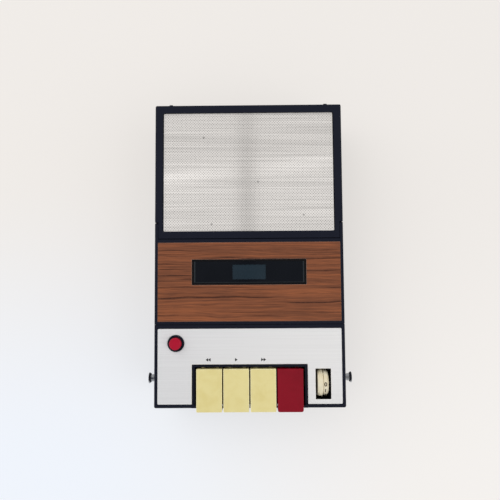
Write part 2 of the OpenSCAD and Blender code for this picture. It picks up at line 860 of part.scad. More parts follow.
module deck_cover() {
    t = cover_t;
    color("#1b1d21") placed() difference() {
        union() {
            block(-well_side - t, well_side + t, well_y0 - t, well_y1 + t, z_well - t, z_cover);
            block(heads_x0 - t, heads_x1 + t, cover_front, well_y0, z_well - t, z_cover);
            // shelves that fill the space up to the case walls
            block(-cover_side, cover_side, well_y0 - t, bar_y0 - cover_gap, z_cover - t, z_cover);
        }
        rounded_block(-well_side, well_side, well_y0, well_y1, z_well, z_cover + 1, t);
        block(heads_x0, heads_x1, cover_front + t, well_y0 + heads_margin, z_well, z_cover + 1);
        cover_openings();
    }
}

module cover_openings() {
    z0 = z_well - cover_t - 1;
    z1 = z_well + 1;
    block(heads_x0 + heads_margin, heads_x1 - heads_margin, cover_front + t_front(),
          head_face_y + 2 * heads_margin, z0, z1);
    for (sx = [-1, 1]) rod_z(sx * hub_x, hub_y, z0, z1, spindle_hole_r);
    rod_z(capstan_x, capstan_y, z0, z1, capstan_hole_r);
}

function t_front() = cover_t + 0.7 * heads_margin;

module mechanism_chassis() {
    color("#a9adb3") placed() {
        difference() {
            block(chassis_x0, chassis_x1, chassis_y0, chassis_y1, z_chassis_under, z_chassis);
            at_posts() rod_z(0, 0, z_chassis_under - 1, z_chassis + 1, screw_r + 0.2);
            for (sx = [-1, 1]) rod_z(sx * hub_x, hub_y, z_chassis_under - 1, z_chassis + 1, 1.5 + running_gap);
            rod_z(capstan_x, capstan_y, z_chassis_under - 1, z_chassis + 1, bearing_r + 0.02);
            // lightening holes on the take-up side
            for (y = [hub_y + reel_r + 2 * hole_r : hole_pitch : chassis_y1 - 2 * hole_r])
                rod_z(hole_x, y, z_chassis_under - 1, z_chassis + 1, hole_r);
        }
        for (x = guide_x) rod_z(x, guide_y, z_chassis - 0.5, z_bridge + bridge_t + 1, guide_r);
        rod_z(pinch_x, pinch_y, z_chassis_under, z_pinch + 3.6, 1.5);
    }
}

// Keys

module key_bracket() {
    y0 = shaft_y - ear_reach;
    y1 = bar_front + bar_t + 1.5;
    color("#9a9ea4") placed() {
        block(-ear_x - ear_t, ear_x + ear_t, y0 - 1, shaft_y + 4, z_chassis, z_chassis + 1.2);
        for (x = [-ear_x - ear_t, ear_x]) difference() {
            block(x, x + ear_t, y0, y1, z_chassis, shaft_z + key_arm_r);
            rod_x(x - 1, x + ear_t + 1, shaft_y, shaft_z, key_shaft_d / 2);
            block(x - 1, x + ear_t + 1, bar_front - 0.15, bar_front + bar_t + 0.15, bar_z0 - 0.15, bar_z1 + 0.15);
        }
        difference() {
            block(-ear_t / 2, ear_t / 2, y0, shaft_y + key_arm_r, z_chassis, shaft_z + key_arm_r);
            rod_x(-1, 1, shaft_y, shaft_z, key_shaft_d / 2);
        }
    }
}

module key_shaft() {
    color("#c4c7cc") placed() rod_x(-ear_x - ear_t - 1, ear_x + ear_t + 1, shaft_y, shaft_z, key_shaft_d / 2);
}

// One torsion spring beside each key's lever: a plain wound sleeve with one leg to the bracket's plate
module key_springs() {
    color("#b5b8bd") placed() for (i = [0:3]) {
        x = key_x(i) + lever_t / 2 + 0.5;
        difference() {
            union() {
                rod_x(x, x + 3, shaft_y, shaft_z, key_shaft_d / 2 + 1);
                block(x + 2.2, x + 3, shaft_y - key_shaft_d / 2 - 1, shaft_y - key_shaft_d / 2 - 0.2,
                      z_chassis + 1.2, shaft_z);
            }
            rod_x(x - 1, x + 4, shaft_y, shaft_z, key_shaft_d / 2 + 0.2);
        }
    }
}

// Outline of a key cap from above: rounded at the front, square at the rear
module key_outline(corner) {
    half = key_w / 2;
    translate([-half, corner]) square([key_w, key_l - corner]);
    translate([corner - half, 0]) square([key_w - 2 * corner, 2 * corner]);
    for (s = [-1, 1]) translate([s * (half - corner), corner]) circle(r = corner);
}

module key_cap(i) {
    x = key_x(i);
    half = key_w / 2;
    z_front = z_key - key_front_h;
    z_side = z_key - key_side_h;
    color(i == 3 ? "#7d1c29" : "#dccf96") placed() difference() {
        union() {
            difference() {
                translate([x, key_y0, z_front])
                    linear_extrude(key_front_h) key_outline(i == 3 ? stop_corner_r : key_corner_r);
                // underside, stepped up behind the front skirt
                block(x - half - 1, x + half + 1, key_y0 + key_wall, key_y1 + 1, z_front - 1, z_side);
                block(x - half + key_wall, x + half - key_wall, key_y0 + key_wall,
                      key_y1 - key_wall, z_front - 1, z_key - key_roof);
                // room for the case's front wall when the key is down
                block(x - half - 1, x + half + 1, key_y0 + key_wall, inner_front + 0.8,
                      z_front - 1, z_key - key_roof);
            }
            for (s = [-1, 1]) key_arm(x + s * arm_spread);
        }
        rod_x(x - half, x + half, shaft_y, shaft_z, key_shaft_d / 2 + running_gap);
    }
}

// Arm from a key cap's roof back to the shaft
module key_arm(x) {
    reach = key_y1 - 7;
    block(x - arm_t / 2, x + arm_t / 2, reach, shaft_y, shaft_z - 2, shaft_z + key_arm_r);
    block(x - arm_t / 2, x + arm_t / 2, reach, key_y1 - key_wall / 2, shaft_z - 2, z_key - key_roof + 0.2);
    rod_x(x - arm_t / 2, x + arm_t / 2, shaft_y, shaft_z, key_arm_r);
}

module key_lever(i) {
    x0 = key_x(i) - lever_t / 2;
    x1 = key_x(i) + lever_t / 2;
    reach = key_y1 - 16;
    color("#aeb2b8") placed() difference() {
        union() {
            rod_x(x0, x1, shaft_y, shaft_z, key_arm_r);
            block(x0, x1, shaft_y - toe_half, shaft_y + toe_half, toe_z, shaft_z);
            block(x0, x1, reach, shaft_y, shaft_z - 2, shaft_z + 2);
            block(x0, x1, reach, reach + 6, shaft_z - 2, z_key - key_roof);
        }
        rod_x(x0 - 1, x1 + 1, shaft_y, shaft_z, key_shaft_d / 2 + running_gap);
    }
}

module latch_bar() {
    color("#b9bcc1") placed()
        block(-ear_x - ear_t - 3, ear_x + ear_t + 3, bar_front, bar_front + bar_t, bar_z0, bar_z1);
}

// Tape mechanism

module head_bridge() {
    slot = guide_r + 0.1;
    tab_x = key_x(1);
    color("#b4b8be") placed() {
        difference() {
            union() {
                block(bridge_x0, bridge_x1, bridge_y0, bridge_y1, z_bridge, z_bridge + bridge_t);
                block(tab_x - 3, tab_x + 3, shaft_y + toe_half + 0.3, bridge_y0 + 1,
                      toe_z - 0.6, toe_z + 2.2);
                block(tab_x - 3, tab_x + 3, bridge_y0 - 0.5, bridge_y0 + 3, z_bridge, toe_z + 2.2);
                block(-4, 4, bridge_y1 - 8, bridge_y1 - 1, z_bridge, z_head);
                block(erase_x - 3, erase_x + 3, bridge_y1 - 8, bridge_y1 - 1, z_bridge, z_head);
            }
            for (x = guide_x) {
                block(x - slot, x + slot, guide_y - bridge_travel, guide_y, z_bridge - 1, z_bridge + 3);
                rod_z(x, guide_y, z_bridge - 1, z_bridge + 3, slot);
                rod_z(x, guide_y - bridge_travel, z_bridge - 1, z_bridge + 3, slot);
            }
        }
    }
}

module tape_head(x, w) {
    face_r = 9;
    depth = 9;
    intersection() {
        block(x - w / 2, x + w / 2, head_face_y - depth, head_face_y, z_head, z_head + head_h);
        union() {
            rod_z(x, head_face_y - face_r, z_head, z_head + head_h, face_r);
            block(x - w, x + w, head_face_y - depth, head_face_y - face_r / 2, z_head, z_head + head_h);
        }
    }
}

module play_head() {
    color("#c7c9cc") placed() tape_head(0, head_w);
}

module erase_head() {
    color("#3a3b3f") placed() tape_head(erase_x, erase_w);
}

module pinch_arm() {
    color("#b4b8be") placed() difference() {
        union() {
            rod_z(pinch_x, pinch_y, z_pinch, z_pinch + 3, 3);
            translate([pinch_x, pinch_y, z_pinch]) rotate([0, 0, pinch_rest])
                translate([0, -2.2, 0]) cube([pinch_reach, 4.4, pinch_arm_t]);
            rod_z(roller_x, roller_y, z_pinch, z_pinch + pinch_arm_t, 2.5);
            rod_z(roller_x, roller_y, z_well - 1, z_roller - 0.3, 2);
            rod_z(roller_x, roller_y, z_pinch, z_roller + roller_h + 0.8, roller_pin_r);
        }
        rod_z(pinch_x, pinch_y, z_pinch - 1, z_pinch + 4, 1.5 + running_gap);
    }
}

module pinch_roller() {
    color("#26272a") placed() difference() {
        rod_z(roller_x, roller_y, z_roller, z_roller + roller_h, roller_d / 2);
        rod_z(roller_x, roller_y, z_roller - 1, z_roller + roller_h + 1, roller_pin_r + running_gap);
    }
}

// Spindle with a base disc, a journal in the chassis and six splines
module spindle(x, grooved) {
    translate([x, hub_y, 0]) {
        difference() {
            union() {
                rod_z(0, 0, z_reel, z_reel + reel_t, reel_r);
                rod_z(0, 0, z_reel, z_spindle_top - 2, 3.1);
                translate([0, 0, z_spindle_top - 2]) cylinder(r1 = 3.1, r2 = 1.2, h = 2);
                rod_z(0, 0, z_chassis_under - 2, z_reel + 1, 1.5);
                rod_z(0, 0, z_chassis, z_reel + 1, 3);
                for (a = [0:60:300]) rotate([0, 0, a])
                    block(2, 4.7, -0.6, 0.6, z_well + 0.8, z_spindle_top - 2.4);
            }
            if (grooved) difference() {
                rod_z(0, 0, z_reel_groove, z_reel_groove + groove_h, reel_r + 1);
                rod_z(0, 0, z_reel, z_reel + reel_t, take_up_pulley_r);
            }
        }
    }
}

module supply_spindle() {
    color("#e4e2dc") placed() spindle(-hub_x, false);
}

module take_up_spindle() {
    color("#e4e2dc") placed() spindle(hub_x, true);
}

// Drive

module motor_can() {
    color("#9fa3a9") placed() translate([motor_x, motor_y, 0]) difference() {
        union() {
            rod_z(0, 0, z_motor_top - motor_h, z_motor_top, motor_d / 2);
            rod_z(0, 0, z_motor_top - 1, z_motor_top + 0.8, 3);
        }
        rod_z(0, 0, z_motor_top - 5, z_motor_top + 2, 1 + running_gap);
    }
}

module motor_bracket() {
    leg = motor_d / 2 + 1;
    color("#a9adb3") placed() translate([motor_x, motor_y, 0]) rotate([0, 0, motor_turn]) difference() {
        union() {
            rod_z(0, 0, z_motor_top, z_motor_top + 1.2, motor_d / 2 - 1);
            block(-6, 6, -leg - 1.2, leg + 1.2, z_motor_top, z_motor_top + 1.2);
            for (s = [-1, 1]) {
                y = [s * leg, s * (leg + 1.2)];
                block(-6, 6, min(y), max(y), z_motor_top, z_chassis_under);
            }
        }
        rod_z(0, 0, z_motor_top - 1, z_motor_top + 2, 3.6);
    }
}

module motor_pulley() {
    color("#b08d3c") placed() translate([motor_x, motor_y, 0]) {
        r = motor_pulley_d / 2;
        rod_z(0, 0, z_motor_top - 4.5, z_groove + groove_h + 1.2, 1);
        rod_z(0, 0, z_groove - 0.8, z_groove + groove_h + 0.8, r);
        rod_z(0, 0, z_groove - 0.8, z_groove, r + 1.2);
        rod_z(0, 0, z_groove + groove_h, z_groove + groove_h + 0.8, r + 1.2);
    }
}

module flywheel() {
    r = flywheel_d / 2;
    color("#bcc0c5") placed() translate([capstan_x, capstan_y, 0]) difference() {
        rod_z(0, 0, z_flywheel, z_flywheel + flywheel_t, r);
        difference() {
            rod_z(0, 0, z_groove, z_groove + groove_h, r + 1);
            rod_z(0, 0, z_groove - 1, z_groove + groove_h + 1, flywheel_groove_r);
        }
        difference() {
            rod_z(0, 0, z_flywheel - 1, z_flywheel + 2, r - 5);
            rod_z(0, 0, z_flywheel - 2, z_flywheel + 3, 5);
        }
        rod_z(0, 0, z_flywheel - 1, z_flywheel + flywheel_t + 1, capstan_d / 2 + 0.01);
    }
}

// Shaft with the small pulley of the take-up belt pressed onto it
module capstan_shaft() {
    flange_t = 0.5;
    color("#d2d5d9") placed() translate([capstan_x, capstan_y, 0]) {
        rod_z(0, 0, z_strap + strap_t + 0.3, z_well + 9.5, capstan_d / 2);
        difference() {
            union() {
                rod_z(0, 0, z_reel_groove - flange_t, z_reel_groove + groove_h + flange_t, hub_pulley_r);
                rod_z(0, 0, z_reel_groove - flange_t, z_reel_groove, hub_pulley_r + 1);
                rod_z(0, 0, z_reel_groove + groove_h, z_reel_groove + groove_h + flange_t, hub_pulley_r + 1);
            }
            rod_z(0, 0, z_reel, z_reel + 2 * reel_t, capstan_d / 2 + 0.01);
        }
    }
}

module capstan_bearing() {
    color("#b5903f") placed() translate([capstan_x, capstan_y, 0]) difference() {
        union() {
            rod_z(0, 0, z_chassis_under - 1, z_chassis + 1, bearing_r);
            rod_z(0, 0, z_chassis_under - 1, z_chassis_under, bearing_r + 1.5);
        }
        rod_z(0, 0, z_chassis_under - 3, z_reel + 1, capstan_d / 2 + running_gap);
    }
}

module flywheel_bracket() {
    color("#a9adb3") placed() translate([capstan_x, capstan_y, 0]) rotate([0, 0, strap_turn]) difference() {
        union() {
            block(-strap_reach - strap_t, strap_reach + strap_t, -4, 4, z_strap, z_strap + strap_t);
            block(-strap_reach - strap_t, -strap_reach, -4, 4, z_strap, z_chassis_under);
            block(strap_reach, strap_reach + strap_t, -4, 4, z_strap, z_chassis_under);
            rod_z(0, 0, z_strap, z_strap + strap_t + 2, 3);
        }
        rod_z(0, 0, z_strap + strap_t, z_strap + strap_t + 3, capstan_d / 2 + running_gap);
    }
}

// Flat loop round two pulleys, inner radii r1 and r2
module belt(c1, r1, c2, r2, z0) {
    translate([0, 0, z0]) linear_extrude(belt_t) difference() {
        belt_outline(c1, r1 + belt_t, c2, r2 + belt_t);
        belt_outline(c1, r1, c2, r2);
    }
}

module belt_outline(c1, r1, c2, r2) {
    hull() {
        translate(c1) circle(r = r1, $fn = fine);
        translate(c2) circle(r = r2, $fn = 2 * fine);
    }
}

module drive_belt() {
    color("#1c1c1e") placed()
        belt([motor_x, motor_y], motor_pulley_d / 2 + 0.2, [capstan_x, capstan_y],
             flywheel_groove_r + 0.2, z_groove + 0.2);
}

module take_up_belt() {
    color("#1c1c1e") placed()
        belt([capstan_x, capstan_y], hub_pulley_r + 0.2, [hub_x, hub_y],
             take_up_pulley_r + 0.2, z_reel_groove + 0.2);
}

// Circuit board and what stands on it

module circuit_board() {
    color("#8a6a35") placed() difference() {
        block(-pcb_side, pcb_side, pcb_y0, pcb_y1, pcb_z, z_pcb);
        for (sx = [-1, 1]) {
            rod_z(sx * boss_x, -boss_y, pcb_z - 1, z_pcb + 1, boss_r + 1.5);
            rod_z(sx * post_x, post_front_y, pcb_z - 1, z_pcb + 1, post_r + 0.5);
        }
    }
}

// Electrolytic capacitors, a transformer and a row of transistors
module board_components() {
    x0 = -2.5 * can_pitch;
    y_cans = pcb_y0 + 2.3 * can_r;
    y_transformer = y_cans + 2 * can_r;
    y_small = y_transformer + 1.75 * transformer[1];
    y_transistors = y_small + small_can_pitch + 2 * small_can_r;
    z_low = z_strap - 1.2;
    color("#3c5a86") placed() {
        for (i = [0:4]) rod_z(x0 + i * can_pitch, y_cans, z_pcb, z_pcb + can_h, can_r);
        for (i = [0:3]) rod_z(x0 + i * small_can_pitch, y_small, z_pcb, z_pcb + small_can_h, small_can_r);
        for (i = [0:5]) translate([x0 - 2 * transistor[0] + 1.5 * i * transistor[0], y_transistors, z_pcb])
            cube([transistor[0], transistor[1], z_low - z_pcb]);
        translate([2 * transistor[0], y_transformer, z_pcb]) cube(transformer);
        translate([x0 - transistor[0], pcb_y1 - 3 * shield_can[1], z_pcb]) cube(shield_can);
        for (i = [0:3]) rod_z(can_pitch + i * (small_can_pitch + 1), pcb_y1 - 2.2 * small_can_r,
                              z_pcb, z_low, small_can_r);
    }
}

module record_switch() {
    color("#2e3035") placed()
        block(record_x - 3.4, record_x + 3.4, record_y - 11, record_y + 11, z_pcb, z_pcb + record_switch_h);
}

module record_spring() {
    color("#b5b8bd") placed() difference() {
        rod_z(record_x, record_y, tube_shelf_z, record_cap_z(), stem_d / 2 + 1.4);
        rod_z(record_x, record_y, tube_shelf_z - 1, record_cap_z() + 1, stem_d / 2 + 0.4);
    }
}

function record_cap_z() = z_top - 3.5;

module record_button() {
    r = record_d / 2;
    z1 = z_top + record_rise;
    edge = 0.5;
    dish = 0.3;
    dish_r = 22.3;
    color("#ab2236") placed() {
        difference() {
            union() {
                rod_z(record_x, record_y, record_cap_z(), z1 - edge, r);
                translate([record_x, record_y, z1 - edge]) cylinder(r1 = r, r2 = r - edge, h = edge);
            }
            translate([record_x, record_y, z1 + dish_r - dish]) sphere(r = dish_r, $fn = 128);
        }
        rod_z(record_x, record_y, z_pcb + record_switch_h + record_travel + 0.5, record_cap_z() + 0.5, stem_d / 2);
    }
}

module volume_wheel() {
    r = wheel_d / 2;
    groove_r = 0.28;
    color("#d9d0b8") placed() {
        difference() {
            union() {
                rod_x(wheel_x0, wheel_split - 0.2, wheel_y, wheel_z, r);
                rod_x(wheel_split - 0.5, wheel_split + 0.3, wheel_y, wheel_z, r - 1.2);
                rod_x(wheel_split + 0.2, wheel_x1 - wheel_cone, wheel_y, wheel_z, r - 0.4);
                translate([wheel_x1 - wheel_cone, wheel_y, wheel_z]) rotate([0, 90, 0])
                    cylinder(r1 = r - 0.4, r2 = r - 0.4 - 0.8 * wheel_cone, h = wheel_cone);
            }
            translate([wheel_x0 - 1, wheel_y, wheel_z]) rotate([0, 90, 0])
                for (i = [0:wheel_grooves - 1]) rotate([0, 0, i * 360 / wheel_grooves])
                    translate([r, 0, 0]) cylinder(r = groove_r, h = 1 + wheel_split - 0.2 - wheel_x0, $fn = 4);
        }
        rod_x(wheel_x1 - 1, pot_x + 2, wheel_y, wheel_z, 1.5);
    }
}

module volume_pot() {
    plate = [inner_side - 0.8, inner_side];
    color("#6f7277") placed() {
        difference() {
            rod_x(pot_x, plate[0] + 0.3, wheel_y, wheel_z, pot_r);
            rod_x(pot_x - 1, pot_x + 2.5, wheel_y, wheel_z, 1.5 + running_gap);
        }
        block(plate[0], plate[1], wheel_y - pot_r, wheel_y + pot_r, wheel_z - pot_r - 1, z_deck - 1.2);
    }
}

module socket_body(y, bore_d, x_sign) {
    translate([0, y, jack_z]) rotate([0, x_sign * 90, 0]) difference() {
        union() {
            translate([-jack_size / 2, -jack_size / 2, inner_side - jack_len])
                cube([jack_size, jack_size, jack_len]);
            cylinder(r = jack_size / 2 - 0.8, h = side - 0.3);
        }
        translate([0, 0, -1]) cylinder(r = jack_size, h = inner_side - jack_len + 1);
        translate([0, 0, inner_side - jack_len + 1.5]) cylinder(r = bore_d / 2, h = jack_len + wall);
    }
}

module jack_sockets() {
    color("#2b2c30") placed() {
        socket_body(jack_y, remote_d, 1);
        socket_body(jack_y + jack_pitch, jack_d, 1);
        socket_body(jack_y + 2 * jack_pitch, jack_d, 1);
    }
}

module power_socket() {
    color("#2b2c30") placed() {
        socket_body(power_y, power_d, -1);
        rod_x(-side + 1.5, -inner_side + jack_len - 1, power_y, jack_z, 1);
    }
}

// Batteries

module battery_box() {
    x = bay_w / 2;
    color("#2a2320") placed() difference() {
        union() {
            block(-x - box_t, x + box_t, bay_y0 - box_t, bay_y1 + box_t, z_floor, z_bay + box_t);
            block(-x - box_t - box_flange, x + box_t + box_flange, bay_y0 - box_t - box_flange,
                  bay_y1 + box_t + 1.4, z_floor, z_floor + 1.2);
        }
        block(-x, x, bay_y0, bay_y1, z_floor - 1, z_bay);
    }
}

// Leaf contacts at both ends of the two rows
module battery_contacts() {
    x = bay_w / 2;
    color("#c8ad6a") placed() for (sx = [-1, 1], row = [0.25, 0.75]) {
        y = bay_y0 + row * bay_l;
        a = [sx * x, sx * (x - 0.4)];
        b = [sx * (x - 0.3), sx * (x - 1.2)];
        block(min(a), max(a), y - 8, y + 8, z_floor + 4, z_bay - 3);
        block(min(b), max(b), y - 3, y + 3, z_floor + 9, z_bay - 9);
    }
}

module battery_door() {
    ribs = 5;
    color("#22252b") placed() difference() {
        union() {
            block(-door_side, door_side, door_y0, rear, z_base, z_base + door_t);
            block(-door_side - door_tongue, door_side + door_tongue, door_y0, rear - 1,
                  z_base + 0.75, z_base + 0.75 + door_tongue_h);
        }
        for (i = [0:ribs - 1])
            block(-14, 14, rear - 12 - 2.4 * i, rear - 11 - 2.4 * i, z_base - 1, z_base + 0.5);
        translate([0, rear, z_base]) rotate([45, 0, 0])
            cube([case_w, edge_chamfer * sqrt(2), edge_chamfer * sqrt(2)], center = true);
    }
}

// Lid

module lid_pins() {
    x0 = grille_side + 0.4;
    color("silver") placed() {
        rod_x(x0, side - 0.3, pivot_y, pivot_z, lid_pin_d / 2 - 0.02);
        rod_x(-side + 0.3, -x0, pivot_y, pivot_z, lid_pin_d / 2 - 0.02);
    }
}

module lid_arm(sx) {
    x = [sx * skirt_side, sx * side];
    difference() {
        union() {
            block(min(x), max(x), lid_y0, pivot_y, z_top - skirt_h, z_top);
            rod_x(min(x), max(x), pivot_y, pivot_z, skirt_h / 2);
        }
        rod_x(min(x) - 1, max(x) + 1, pivot_y, pivot_z, lid_pin_d / 2 + running_gap);
    }
}

module lid_frame() {
    half = window_w / 2;
    clear = 0.4;
    color("#22252b") placed() difference() {
        union() {
            block(-side, side, lid_y0, lid_y1, z_lid, z_top);
            for (sx = [-1, 1]) lid_arm(sx);
        }
        block(-veneer_side, veneer_side, veneer_y0, veneer_y1, z_top - veneer_t, z_top + 1);
        block(-half - clear, half + clear, window_y - window_l / 2 - clear, window_y + window_l / 2 + clear,
              z_lid + 1, z_top + 1);
        block(-port_w / 2, port_w / 2, window_y - port_l / 2, window_y + port_l / 2, z_lid - 1, z_top);
        for (sx = [-1, 1]) translate([sx * side, 0, z_top]) rotate([0, 45, 0])
            cube([edge_chamfer * sqrt(2), case_l, edge_chamfer * sqrt(2)], center = true);
    }
}

module lid_veneer() {
    half = window_w / 2;
    clear = 0.4;
    gap = 0.1;
    color("#7a4b36") placed() difference() {
        block(-veneer_side + gap, veneer_side - gap, veneer_y0 + gap, veneer_y1 - gap,
              z_top - veneer_t, z_top - 0.05);
        block(-half - clear, half + clear, window_y - window_l / 2 - clear, window_y + window_l / 2 + clear,
              z_lid, z_top + 1);
    }
}

module lid_window() {
    half = window_w / 2;
    color("#15181d") placed() difference() {
        rounded_block(-half, half, window_y - window_l / 2, window_y + window_l / 2, z_lid + 1, z_top - 0.1, 0.6);
        block(-port_w / 2, port_w / 2, window_y - port_l / 2, window_y + port_l / 2, z_lid, z_top + 1);
    }
}

module lid_port() {
    gap = 0.05;
    color([0.3, 0.37, 0.42, 0.6]) placed()
        block(-port_w / 2 + gap, port_w / 2 - gap, window_y - port_l / 2 + gap, window_y + port_l / 2 - gap,
              z_lid + 1, z_top - 0.5);
}

// Two leaf springs under the lid that hold the cassette down
module cassette_springs() {
    t = leaf_t;
    a = leaf_l / 2;
    b = a - leaf_foot;
    color("#c9a45a") placed() for (sx = [-1, 1]) translate([sx * leaf_x - leaf_w / 2, hub_y, z_lid])
        rotate([90, 0, 90]) linear_extrude(leaf_w) polygon([
            [-a, 0], [-b, 0], [0, -leaf_drop], [b, 0], [a, 0],
            [a, -t], [b + t / 2, -t], [0, -leaf_drop - t], [-b - t / 2, -t], [-a, -t]
        ]);
}

module rewind_key() key_cap(0);
module play_key() key_cap(1);
module forward_key() key_cap(2);
module stop_key() key_cap(3);
module rewind_lever() key_lever(0);
module play_lever() key_lever(1);
module forward_lever() key_lever(2);
module stop_lever() key_lever(3);

bottom_case();
top_case();
feet();
case_screws();
strap_studs();
speaker_grille();
grille_cloth();
speaker_frame();
speaker_cone();
speaker_magnet();
control_panel();
deck_cover();
mechanism_chassis();
inner_screws();
key_bracket();
key_shaft();
key_springs();
motor_can();
motor_bracket();
flywheel_bracket();
capstan_bearing();
drive_belt();
take_up_belt();
circuit_board();
board_components();
record_switch();
record_spring();
volume_pot();
jack_sockets();
power_socket();
battery_box();
battery_contacts();
battery_door();
lid_pins();
lid_frame();
lid_veneer();
lid_window();
lid_port();
cassette_springs();
rewind_key();
rewind_lever();
play_key();
play_lever();
forward_key();
forward_lever();
stop_key();
stop_lever();
latch_bar();
record_button();
volume_wheel();
flywheel();
capstan_shaft();
motor_pulley();
supply_spindle();
take_up_spindle();
head_bridge();
play_head();
erase_head();
pinch_arm();
pinch_roller();
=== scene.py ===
# %% [markdown]
# A portable cassette recorder, dressed for its portrait.
# The recorder is a dark plastic box with a perforated loudspeaker sheet at the back, a wood-grain
# cassette lid across the middle and a satin aluminium panel with four piano keys at the front.
# Its construction is already there: every piece at its real size, with the joints that it moves on.
# This script adds what the eye sees on top of that, piece by piece, and leaves the construction alone.
# We start by loading the construction. Each of its pieces is an object named after what it is, and
# it hangs on a body, which is the thing that a joint moves.

# %% Load the construction
import json
import math

import bmesh
import bpy
from mathutils import Euler, Matrix, Vector
from mathutils.geometry import delaunay_2d_cdt

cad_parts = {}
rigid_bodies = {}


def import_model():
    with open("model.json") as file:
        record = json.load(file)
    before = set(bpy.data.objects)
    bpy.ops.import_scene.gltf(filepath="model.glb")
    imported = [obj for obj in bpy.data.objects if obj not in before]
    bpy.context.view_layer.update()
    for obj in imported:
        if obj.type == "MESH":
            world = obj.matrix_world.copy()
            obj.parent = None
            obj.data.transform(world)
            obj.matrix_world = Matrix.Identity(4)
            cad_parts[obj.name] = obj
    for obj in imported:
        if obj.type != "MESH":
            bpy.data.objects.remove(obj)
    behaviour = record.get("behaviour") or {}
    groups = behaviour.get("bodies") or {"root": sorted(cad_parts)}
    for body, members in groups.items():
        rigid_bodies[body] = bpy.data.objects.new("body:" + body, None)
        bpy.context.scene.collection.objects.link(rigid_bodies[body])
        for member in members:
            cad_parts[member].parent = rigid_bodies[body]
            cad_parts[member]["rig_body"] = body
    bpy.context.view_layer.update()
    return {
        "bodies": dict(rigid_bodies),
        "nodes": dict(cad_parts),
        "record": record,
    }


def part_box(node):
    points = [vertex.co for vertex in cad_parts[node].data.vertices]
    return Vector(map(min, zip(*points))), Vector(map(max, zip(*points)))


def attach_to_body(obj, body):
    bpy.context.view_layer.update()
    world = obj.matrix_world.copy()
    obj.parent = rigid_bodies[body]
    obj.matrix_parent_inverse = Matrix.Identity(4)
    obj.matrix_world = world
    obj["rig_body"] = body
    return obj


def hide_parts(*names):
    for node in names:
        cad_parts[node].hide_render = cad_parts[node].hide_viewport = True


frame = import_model()
nodes = frame["nodes"]
print(f"{len(nodes)} pieces on {len(frame['bodies'])} bodies")

# %% [markdown]
# Blender counts in metres, but on a thing this small every size worth knowing is a few millimetres.
# So lengths are written in millimetres and converted once, by `mm`. The middle of the case is a
# better origin for measuring than the middle of everything, because the keys hang over its front
# edge. `place` turns "so far right, so far back, so high" from the middle of the case into a point.

# %% Measure from the middle of the case
MM = 0.001


def mm(length):
    return length * MM


case_low, case_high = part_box("top_case")
CASE_MIDDLE = (case_low.y + case_high.y) / 2


def place(right, back, up):
    return Vector((mm(right), CASE_MIDDLE + mm(back), mm(up)))


print(f"case {(case_high.x - case_low.x) / MM:.1f} mm wide, its middle at y {CASE_MIDDLE / MM:.2f} mm")

# %% [markdown]
# The photograph was taken from straight above, almost: the far end of the case looks a little
# narrower than the near end, so the camera leaned back by a few degrees. Its height above the lid
# follows from how much the perspective shrinks the case, and its lens from the height. A lens about
# as long as the sensor is wide sees 53 degrees across, which is what a phone held close sees.

# %% Camera
CAMERA_HEIGHT = 371.5
CAMERA_OFFSET = (3.78, -21.27)
CAMERA_TILT = (3.671, 0.486, -0.382)
SENSOR = 36
LENS = 36.23


def in_scene(name, data):
    """A new object, linked into the scene."""
    made = bpy.data.objects.new(name, data)
    bpy.context.scene.collection.objects.link(made)
    return made


camera_data = bpy.data.cameras.new("camera")
camera_data.sensor_width = SENSOR
camera_data.lens = LENS
camera_data.clip_start = 0.01
camera = in_scene("camera", camera_data)
camera.location = place(*CAMERA_OFFSET, case_high.z / MM + CAMERA_HEIGHT)
camera.rotation_euler = Euler([math.radians(angle) for angle in CAMERA_TILT])
bpy.context.scene.camera = camera
print(f"camera {camera.location.z:.3f} m above the floor")

# %% [markdown]
# Materials in Blender are small programs, drawn as boxes joined by lines. Written out line by line
# they are hard to read, so two small classes let us write them as sums instead. A `Wire` is one
# socket with a value on it. Adding, multiplying or comparing wires adds the Math node that does it.
# A `Bench` is the tree that the wires belong to, and `node` puts any other kind of node on it: its
# type, its settings, and its sockets by name. The same classes serve the geometry trees further down.

# %% Wires and the bench they are soldered on
class Wire:
    """A socket that takes part in sums: each sum adds one Math node."""

    def __init__(self, bench, socket):
        self.bench = bench
        self.socket = socket

    def sum(self, operation, first, second=0):
        return self.bench.node("ShaderNodeMath", {"operation": operation}, Value=first, Value_001=second)

    def __lt__(self, other):
        return self.sum("LESS_THAN", self, other)

    def __abs__(self):
        return self.sum("ABSOLUTE", self)

    def wave(self):
        """The sine of the value, from -1 to 1."""
        return self.sum("SINE", self)

    def at_most(self, other):
        return self.sum("MINIMUM", self, other)

    def at_least(self, other):
        return self.sum("MAXIMUM", self, other)


def teach(sign, operation):
    """Gives wires an operator, also for when a number comes first, as in 1 - mask."""
    setattr(Wire, f"__{sign}__", lambda self, other: self.sum(operation, self, other))
    setattr(Wire, f"__r{sign}__", lambda self, other: self.sum(operation, other, self))


for sign, operation in {"add": "ADD", "sub": "SUBTRACT", "mul": "MULTIPLY", "truediv": "DIVIDE",
                        "mod": "MODULO"}.items():
    teach(sign, operation)


